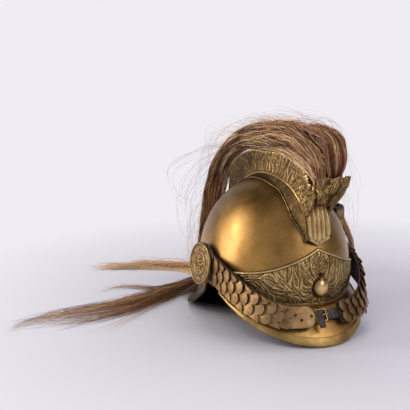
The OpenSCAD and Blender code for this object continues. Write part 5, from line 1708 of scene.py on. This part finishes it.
@dataclass(frozen=True)
class Mane(SubAssembly):
    """All the hair of the helmet. Locks are rows of x, y, z, half thickness and half width."""

    crest_rows: Rows = (
        (0, -125, 198.5, 25, 13), (0, -115, 197, 28, 15), (0, -100, 197, 28, 16.5), (0, -78, 198.7, 26.5, 17),
        (0, -52, 199, 24, 16), (0, -26, 196.5, 23, 16), (0, 0, 194, 21.5, 16), (0, 26, 190, 19.5, 16),
        (0, 55, 184, 18.5, 16), (0, 85, 175.5, 15.5, 15.5), (0, 115, 161.5, 13.5, 15),
    )
    fall_rows: Rows = (
        (0, 85, 175.5, 14.5, 15.5), (0, 115, 161.5, 13.5, 15), (0, 141.5, 141.5, 13.5, 14),
        (0, 162, 116, 14.5, 13.4), (0, 174.5, 90, 16.5, 12.8), (-1, 182, 62, 18, 12.8), (-2, 187, 32, 17, 12.8),
        (-3, 189, 4, 16, 13.4), (-4, 188, -24, 15, 14.7),
    )
    strand_rows: Rows = (
        (12, 62, 188, 3, 4), (40, 58, 178, 4, 6), (68, 48, 150, 4.5, 7), (95, 38, 112, 4.5, 8), (118, 31, 78, 4, 7),
        (136, 29, 48, 3.6, 6), (149, 30, 24, 3, 5), (155, 34, 0, 2.4, 4), (153, 40, -26, 2, 3.4), (140, 52, -46, 1.4, 2),
    )

    @property
    def crest(self) -> Flow:
        """Course of the mass over the crest."""
        return Flow.through(side_view(self.crest_rows), ACROSS)

    @property
    def fall(self) -> Flow:
        """Course of the lock behind the bowl, down to the table."""
        return Flow.through(side_view(self.fall_rows) + [(np.array([-5, 189, FLOOR_Z + 14]), 12, 16)], ACROSS)

    def keep(self, hair: HairBuilder, name: str, nodes: Sequence[str] = (), slot: Slot = Slot.HORSEHAIR) -> None:
        """Make a piece of gathered hair.

        Args:
            hair: The gathered hair.
            name: Name of the piece.
            nodes: CAD nodes that it stands for.
            slot: Its material slot.
        """
        self.put(new_object(name, hair.mesh(name)), slot, nodes)

    @staticmethod
    def table(route: Sequence[tuple[float, float]], thick: float, wide: float, narrow: float = 0.75) -> Flow:
        """The course of a tail on the table.

        Args:
            route: Places on the table in the row frame.
            thick: Thickness at its start.
            wide: Width at its start.
            narrow: Share of its width that it loses towards its end.

        Returns:
            The course.
        """
        n = len(route) - 1
        stations = []
        for i, (x, y) in enumerate(route):
            f = i / n
            h = thick * (1 - 0.8 * f * f) / 2
            stations.append((np.array([x, y, FLOOR_Z + h + 0.3]), h, wide * (1 - narrow * f * f) / 2))
        return Flow.through(stations, (0.3, 1, 0))

    def build(self) -> None:
        """Make every lock."""
        self._over_crest()
        self._falling()
        self._tuft()
        self._tails()
        self._left_strand()
        self._flyaways()

    def _over_crest(self) -> None:
        """The mass over the crest, rooted along its top."""
        core = HairBuilder(31)
        core.core(self.crest, 0.7, 0.2, 0.12, 1.0)
        core.fill(
            self.crest, 1700, 14, 0.34, lambda a, b: 0.4 - 0.06 * a + 0.12 * np.abs(b),
            (0.0, 0.45), (0.9, 1.0), 130, 2.0, rooted=0.8,
        )
        self.keep(core, "mane_crest_body", ["mane_crest_lock"])
        top = HairBuilder(37)
        top.fill(
            self.crest, 1850, 16, 0.27, lambda a, b: 0.52 + 0.06 * a + 0.1 * b,
            (0.0, 0.14), (0.85, 1.0), 150, 3.2, rooted=0.5, red=0.015,
        )
        top.fill(
            self.crest, 260, 18, 0.2, lambda a, b: 0.7 + 0.1 * a,
            (0.0, 0.5), (0.6, 1.0), 300, 8.0, rooted=0.3, red=0.05,
        )
        self.keep(top, "mane_crest_hairs")
        band_rows = (
            (14.6, -116, 166, 7, 2.6), (15.4, -98, 175.5, 8.5, 2.6), (16.2, -74, 183, 8.5, 2.6),
            (16.6, -44, 186, 6.5, 2.6), (16.4, -12, 183, 5, 2.2), (16, 20, 177, 3, 1.6),
        )
        brow_rows = (
            (11, -123, 158, 4, 4), (12.5, -122, 171, 6, 5), (12.5, -117, 185, 8, 6), (11.5, -103, 197, 9, 6.5),
            (11, -80, 205, 7, 6), (11, -50, 207, 5, 5),
        )
        golden = HairBuilder(39)
        for side in Side:
            band, brow = (
                Flow.through(side_view([(side.value * x, *rest) for x, *rest in rows]), ACROSS)
                for rows in (band_rows, brow_rows)
            )
            golden.fill(brow, 330, 14, 0.28, lambda a, b: 0.45 - 0.1 * a, (0.0, 0.15), (0.6, 1.0), 22, 2.0)
            golden.fill(band, 420, 15, 0.26, lambda a, b: 0.57 - 0.12 * a, (0.0, 0.25), (0.45, 1.0), 26, 2.6)
        self.keep(golden, "mane_golden_hairs")

    def _falling(self) -> None:
        """The main lock behind the bowl."""
        lock = HairBuilder(41)
        lock.core(self.fall, 0.78, 0.18, 0.0, 1.0)
        lock.fill(self.fall, 1600, 16, 0.33, lambda a, b: 0.4 + 0.1 * np.abs(b), (0.0, 0.12), (0.95, 1.0), 90, 2.8)
        lock.fill(self.fall, 180, 24, 0.2, lambda a, b: 0.6 + 0.1 * b, (0.0, 0.3), (0.5, 1.0), 180, 8.0, red=0.08)
        self.keep(lock, "mane_fall_hairs", ["mane_falling_lock"])

    def _tuft(self) -> None:
        """The tuft that stands in the cup and bends back into the mane."""
        rng = np.random.default_rng(43)
        count, steps = 1700, 19
        spin = rng.random(count) * 2 * np.pi
        reach = np.sqrt(rng.random(count))
        x, y = reach * np.cos(spin), reach * np.sin(spin)

        def knot(middle: Span, wide: float, deep: float, rise: float = 0.0) -> Array:
            """Places of the hairs at one height.

            Args:
                middle: Middle of the tuft there, along and up.
                wide: Half its width.
                deep: Half its depth.
                rise: How much lower its back is.

            Returns:
                One place per hair.
            """
            return np.stack([x * wide, middle[0] + y * deep, middle[1] - rise * y + rng.uniform(-1, 1, count)], axis=-1)

        far = rng.uniform(-100, -62, count)
        top = 223.5 - 10 * (1 - reach) + rng.uniform(-2, 1.5, count)
        bend = np.stack([x * 14, -118 + 5 * y + rng.uniform(-4, 3, count), top - 3], axis=-1)
        end = np.stack([x * 13 + rng.uniform(-3, 3, count), far, top + 1], axis=-1)
        lower = [knot((-119, 150), 4.5, 4.5), knot((-130, 170), 7, 8, 3)]
        upper = [knot((-131.5, 186), 12, 10.5), knot((-128.5, 203), 14, 12)]
        knots = np.stack(lower + upper + [bend, end])
        slopes = np.gradient(knots, axis=0)
        place = np.linspace(0, len(knots) - 1, steps)
        k = np.clip(place.astype(int), 0, len(knots) - 2)
        f = (place - k)[:, None, None]
        paths = (1 + 2 * f) * (1 - f) ** 2 * knots[k] + f * (1 - f) ** 2 * slopes[k] + f**2 * (3 - 2 * f) * knots[k + 1]
        paths = (paths + f**2 * (f - 1) * slopes[k + 1]).transpose(1, 0, 2)
        offset = rng.random((count, 1, 3)) * 400
        free = np.clip(place / 2 - 0.5, 0, 1)[None, :, None]
        paths = paths + noise_field(paths * 0.6 + offset, 20.0, 50) * 1.6 * free
        hair = HairBuilder(47)
        clump = 0.2 * np.sin(spin * 7 + 3 * reach) + 0.12 * np.sin(spin * 17)
        lock = (spin * 31.8 + 4 * reach).astype(int) % 200
        tone = 0.46 + 0.7 * clump + 0.25 * rng.standard_normal(200)[lock] + 0.15 * rng.standard_normal(count)
        hair.strands(stood(paths), rng.uniform(0.22, 0.36, count), tone, (rng.random(count) < 0.03).astype(float))
        self.keep(hair, "tuft_hairs", ["tuft"])

    def _tails(self) -> None:
        """The tails that lie on the table."""
        tail = HairBuilder(53)
        start = [(-2, 193), (-14, 181)]
        middle = [
            (-35, 164), (-71, 147), (-103, 130), (-136, 115), (-168, 105), (-202, 95), (-239, 92), (-274, 91),
            (-312, 97), (-345, 99),
        ]
        tail.core(self.table(start + middle, 15, 22), 0.6, 0.2, 0.0, 0.2)
        far = [
            (-33, 169), (-69, 152), (-99, 139), (-136, 128), (-169, 121), (-208, 116), (-249, 115), (-288, 111),
            (-326, 99), (-352, 76),
        ]
        near = [(-37, 160), (-75, 138), (-109, 117), (-142, 102), (-178, 86), (-216, 77), (-250, 71), (-288, 69)]
        hook = [(-33, 171), (-65, 163), (-91, 160), (-111, 167), (-126, 184), (-143, 197), (-167, 195), (-187, 183)]
        stray = [(-33, 160), (-79, 129), (-123, 103), (-165, 75), (-209, 45), (-247, 25), (-274, 18)]
        locks = (
            (far, 13, 14, 210, 0.2, 0.62, (0.35, 1.0), 10.0, 12),
            (middle, 12, 13, 60, 0.2, 0.5, (0.3, 1.0), 11.0, 14),
            (near, 12, 11, 170, 0.2, 0.5, (0.35, 1.0), 9.0, 9),
            (hook, 7, 8, 80, 0.19, 0.56, (0.4, 1.0), 5.0, 7),
            (stray, 5, 9, 50, 0.15, 0.66, (0.4, 1.0), 9.0, 9),
        )
        for route, thick, wide, count, radius, tone, end, fray, clumps in locks:
            tail.fill(
                self.table(start + route, thick, wide, 0.15), count, 24, radius,
                lambda a, b, tone=tone: tone - 0.08 * a + 0.15 * b,
                (0.0, 0.05), end, clumps, 4.0, fray=fray, fade=0.3,
            )
        tail.fill(
            self.table(start + middle, 10, 22, 0.2), 60, 34, 0.14, lambda a, b: 0.7 + 0.2 * b,
            (0.0, 0.3), (0.3, 1.0), 60, 11.0, fray=8.0,
        )
        self.keep(tail, "mane_tail_hairs", ["mane_table_tail"])
        self._wisp()

    def _wisp(self) -> None:
        """The fair wisp that lies on the table behind the helmet."""
        wisp = HairBuilder(59)
        fan = [(-6, 202.4), (-6, 226), (-16, 246), (-34, 263), (-62, 281), (-92, 297), (-122, 311), (-152, 324)]
        dark = [(-6, 202.4), (0, 230), (-8, 258), (-24, 282), (-44, 302), (-60, 318), (-80, 326)]
        wisp.fill(
            self.table(fan, 10, 27), 460, 22, 0.2, lambda a, b: 0.66 + 0.2 * b,
            (0.0, 0.06), (0.25, 0.97), 18, 6.0, fray=9.0, fade=0.2,
        )
        wisp.fill(
            self.table(dark, 6, 8), 90, 20, 0.22, lambda a, b: 0.18 + 0.15 * b,
            (0.0, 0.06), (0.6, 1.0), 5, 2.4, fray=3.0,
        )
        wisp.fill(
            self.table(dark, 8, 30, 0.2), 40, 30, 0.13, lambda a, b: 0.6 + 0.2 * b,
            (0.0, 0.2), (0.4, 1.0), 40, 9.0, fray=5.0,
        )
        self.keep(wisp, "mane_wisp_hairs", ["mane_table_wisp"], Slot.PALE_HORSEHAIR)

    def _left_strand(self) -> None:
        """The loose strand that falls past the plume socket on the wearer's left."""
        flow = Flow.through(side_view(self.strand_rows), ALONG)
        strand = HairBuilder(61)
        strand.fill(flow, 420, 22, 0.24, lambda a, b: 0.35 + 0.2 * b, (0.0, 0.05), (0.5, 1.0), 14, 2.2, red=0.06)
        self.keep(strand, "mane_left_hairs", ["mane_left_strand"], Slot.PALE_HORSEHAIR)

    def _flyaways(self) -> None:
        """Single hairs that stand off the mane and the tails."""
        rng = np.random.default_rng(67)
        loose = HairBuilder(71)
        t = np.linspace(0, 1, 30)[None, :]

        def loops(flow: Flow, count: int, start: Span, out: Span, length: Span) -> None:
            """Hairs that leave a lock, swing outward and come down in wide bows.

            Args:
                flow: The lock.
                count: Number of hairs.
                start: Range of the shares along the lock where they leave.
                out: Range of how far they swing.
                length: Range of their lengths.
            """
            u0 = rng.uniform(*start, (count, 1))
            side = rng.uniform(-1, 1, count)
            foot = flow.at(u0[:, 0], np.full(count, 0.85), side)
            ahead = flow.at(np.clip(u0[:, 0] + 0.08, 0, 1), np.full(count, 0.95), side)
            way = ahead - foot
            way /= np.maximum(np.linalg.norm(way, axis=1, keepdims=True), 1e-6)
            away = flow.at(u0[:, 0], np.full(count, 1.0), side) - flow.at(u0[:, 0], np.zeros(count), np.zeros(count))
            away /= np.maximum(np.linalg.norm(away, axis=1, keepdims=True), 1e-6)
            reach = rng.uniform(*length, (count, 1, 1))
            swing = rng.uniform(*out, (count, 1, 1)) * np.sin(np.pi * t ** rng.uniform(0.6, 1.3, (count, 1)))[..., None]
            paths = foot[:, None] + way[:, None] * reach * t[..., None] + away[:, None] * swing
            droop = rng.uniform(-0.45, 0.05, (count, 1)) * reach[..., 0] * t**2
            paths[..., 2] += droop
            wander = rng.standard_normal((count, 1, 3)) * 6 * t[..., None] ** 2
            shifts = [rng.random((count, 1, 3)) * 400 for _ in range(3)]
            field = np.stack([NOISE(paths * 0.5 + 60 * i + shifts[i], 24.0) for i in range(3)], axis=-1)
            paths = paths + wander + field * 3 * t[..., None]
            paths[..., 2] = np.clip(paths[..., 2], FLOOR_Z + 0.3, 232)
            tones = rng.uniform(0.35, 0.95, count)
            thin = 0.1 * rng.uniform(0.7, 1.3, count)
            reds = (rng.random(count) < 0.15).astype(float)
            loose.strands(paths, thin, tones, reds)

        loops(self.crest, 70, (0.0, 0.5), (2, 12), (30, 110))
        loops(self.crest, 70, (0.4, 0.95), (3, 14), (30, 120))
        loops(self.fall, 90, (0.0, 0.8), (6, 34), (40, 130))
        arcs = (
            (18, (
                (6, -70, 222, 3, 6), (55, -40, 206, 14, 16), (100, -10, 140, 22, 24), (122, 4, 60, 22, 26),
                (128, 12, -10, 20, 24), (120, 20, -40, 8, 20),
            )),
            (12, (
                (8, 10, 214, 3, 6), (60, 20, 190, 14, 14), (112, 22, 110, 16, 20), (132, 20, 20, 14, 20),
                (126, 20, -36, 6, 14),
            )),
            (8, (
                (-8, 112, 162, 4, 8), (-45, 130, 148, 10, 12), (-92, 140, 118, 12, 14), (-80, 136, 86, 12, 14),
                (-34, 150, 66, 10, 12),
            )),
            (12, (
                (-10, 130, 150, 4, 8), (-40, 150, 120, 10, 12), (-66, 152, 70, 12, 14), (-58, 150, 20, 10, 12),
                (-40, 160, -20, 8, 10),
            )),
        )
        for count, rows in arcs:
            loose.fill(
                Flow.through(side_view(rows), ALONG), count, 34, 0.11, lambda a, b: 0.6 + 0.2 * b,
                (0.0, 0.1), (0.4, 1.0), count, 4.0, red=0.12,
            )
        self.keep(loose, "mane_flyaways")


# Studio


def axes(azimuth: float, elevation: float) -> tuple[Vector, Vector, Vector]:
    """Directions outward, sideways and upward at a place round the helmet.

    Args:
        azimuth: Turn from the helmet's front in degrees, negative to the wearer's right.
        elevation: Height in degrees.

    Returns:
        The three directions.
    """
    a, e = math.radians(azimuth), math.radians(elevation)
    out = Vector((math.sin(a) * math.cos(e), -math.cos(a) * math.cos(e), math.sin(e)))
    side = Vector((math.cos(a), math.sin(a), 0.0))
    return out, side, out.cross(side)


@dataclass(frozen=True)
class Lamp:
    """A softbox that looks at the helmet; turns are in degrees, sizes in metres, power in watts."""

    name: str
    azimuth: float
    elevation: float
    distance: float
    size: Span
    power: float
    colour: str = "ffffff"
    mirrored: bool = True

    def build(self) -> None:
        """Place the lamp; one that isn't mirrored lights the metal without showing in it."""
        data = bpy.data.lights.new(self.name, "AREA")
        data.shape = "RECTANGLE"
        data.size, data.size_y = self.size
        data.energy = self.power
        data.color = linear(self.colour)[:3]
        obj = bpy.data.objects.new(self.name, data)
        obj.visible_glossy = self.mirrored
        out = axes(self.azimuth, self.elevation)[0]
        place = Matrix.Translation(out * self.distance + Vector((0, 0, 0.05)))
        obj.matrix_world = place @ out.to_track_quat("Z", "Y").to_matrix().to_4x4()
        bpy.context.scene.collection.objects.link(obj)


@dataclass(frozen=True)
class Card:
    """A dark card that only the metal sees; turns are in degrees, sizes in metres."""

    name: str
    azimuth: float
    elevation: float
    distance: float
    size: Span
    shade: str

    def build(self) -> None:
        """Place the card."""
        out, side, up = axes(self.azimuth, self.elevation)
        middle, (wide, tall) = out * self.distance, self.size
        steps = np.linspace(-0.5, 0.5, 9)
        grid = np.array([[list((middle + side * wide * x + up * tall * z) * 1000) for x in steps] for z in steps])
        mesh = mesh_of(self.name, grid.reshape(-1, 3), grid_quads(9, 9))
        m = Shader(self.name, Roughness=0.9, Specular_IOR_Level=0.1)
        mesh.materials.append(m.done(m.mottled(700, 2, ((0.3, self.shade), (0.7, self.shade)))))
        obj = new_object(self.name, mesh)
        obj.visible_camera = obj.visible_diffuse = obj.visible_shadow = obj.visible_transmission = False


@dataclass(frozen=True)
class Studio:
    """A plain pale floor, a pale surround, soft lamps and the camera; turns in degrees, sizes in metres."""

    azimuth: float = -26.33
    elevation: float = 12.07
    distance: float = 1.29755
    right_shift: float = 0.09176
    up_shift: float = 0.09697
    field: float = 24.44
    surround: str = "efedf3"
    lights: tuple[Union[Lamp, Card], ...] = (
        Lamp("key_softbox", -116, 14, 1.25, (0.36, 1.1), 12.5, "fff8ec"),
        Lamp("fill_softbox", -50, 50, 1.7, (0.8, 0.6), 7, "fff8ee", mirrored=False),
        Lamp("top_softbox", 150, 70, 1.6, (1.0, 0.8), 9, mirrored=False),
        Lamp("front_softbox", 20, 32, 1.9, (1.3, 1.2), 11),
        Lamp("right_softbox", 75, 45, 1.8, (0.8, 0.8), 6, mirrored=False),
        Card("grey_ceiling", -140, 56, 2.1, (2.4, 1.5), "4e4a46"),
        Card("dark_right", 62, 20, 2.4, (3.0, 2.6), "75716c"),
    )

    def camera(self) -> None:
        """Place the camera at the photograph's angle."""
        back, right, up = axes(self.azimuth, self.elevation)
        data = bpy.data.cameras.new("photograph_view")
        data.sensor_width = 36.0
        data.lens = 18.0 / math.tan(math.radians(self.field) / 2)
        data.clip_start, data.clip_end = 0.05, 30.0
        data.dof.use_dof = False
        obj = bpy.data.objects.new("photograph_view", data)
        place = back * self.distance - right * self.right_shift + up * self.up_shift
        obj.matrix_world = Matrix.Translation(place) @ Matrix((right, up, back)).transposed().to_4x4()
        bpy.context.scene.collection.objects.link(obj)
        bpy.context.scene.camera = obj

    def world(self) -> None:
        """Pale surround for the camera, a plain level of light for everything else."""
        world = bpy.data.worlds.new("studio")
        bpy.context.scene.world = world
        world.use_nodes = True
        tree = world.node_tree
        tree.nodes.clear()
        seen = add_node(tree, "Background", {"Color": self.surround})
        light = add_node(tree, "Background", {"Color": "f4f3f8", "Strength": 0.55})
        rays = add_node(tree, "LightPath", {}, "Is Camera Ray")
        both = add_node(tree, "MixShader", {0: rays, 1: light, 2: seen})
        tree.links.new(both, tree.nodes.new("ShaderNodeOutputWorld").inputs["Surface"])

    def floor(self) -> None:
        """A pale floor with a painted shadow under the helmet, fading into the surround far away."""
        m = Shader("studio_floor", Roughness=0.9, Specular_IOR_Level=0.0)
        pale = {0: m.patches(900, 2, MIDDLE, (0.0, 1.0)), 6: "b2b0ba", 7: "b7b5be"}
        # Painted shadow: the floor is coloured nearly black under the helmet, where a pale floor would light the space
        # inside it
        middle = {0: m.place, 1: (-0.012, 0.105, FLOOR_Z / 1000)}
        away = m.add("VectorMath", middle, "Value", operation="DISTANCE")
        painted_floor_shadow = m.add("MapRange", ranged(away, (0.05, 0.074), (1.0, 0.0)))
        m.done(m.layered(m.add("Mix", pale, 2, data_type="RGBA"), (painted_floor_shadow, "0b0a0b")))
        glow = m.add("Emission", {"Color": self.surround})
        fade = m.spot((60, 0, 0), 1000, (0.78, 0.4), (0.0, 1.0))
        both = m.add("MixShader", {0: fade, 1: m.bsdf.outputs[0], 2: glow})
        m.tree.links.new(both, m.tree.nodes["Material Output"].inputs["Surface"])
        rows, columns = 41, 96
        r = (np.linspace(0, 1, rows) ** 2 * 6000 + 0.5)[:, None]
        a = np.linspace(0, 2 * np.pi, columns, endpoint=False)[None, :]
        grid = np.stack([r * np.cos(a), r * np.sin(a), FLOOR_Z + 0 * r * a], axis=-1)
        mesh = mesh_of("studio_floor", grid.reshape(-1, 3), grid_quads(rows, columns, around=True))
        mesh.materials.append(m.material)
        new_object("studio_floor", mesh)

    def build(self) -> None:
        """Make the whole studio."""
        self.camera()
        self.world()
        self.floor()
        for light in self.lights:
            light.build()


# The whole helmet


def main() -> None:
    """Build the scene."""
    bpy.context.scene.view_settings.view_transform = "Standard"
    finishes = Finishes()
    Studio().build()
    Skull(finishes).build()
    FrontPlate(finishes).build()
    crest = Crest(finishes)
    for side in Side:
        crest.build_side(side)
        Rosette(finishes, side).build()
    crest.build_panel()
    TuftCup(finishes).build()
    crest.build_leaves()
    PackedParts(finishes).build()
    Mane(finishes).build()


if __name__ == "__main__":
    main()
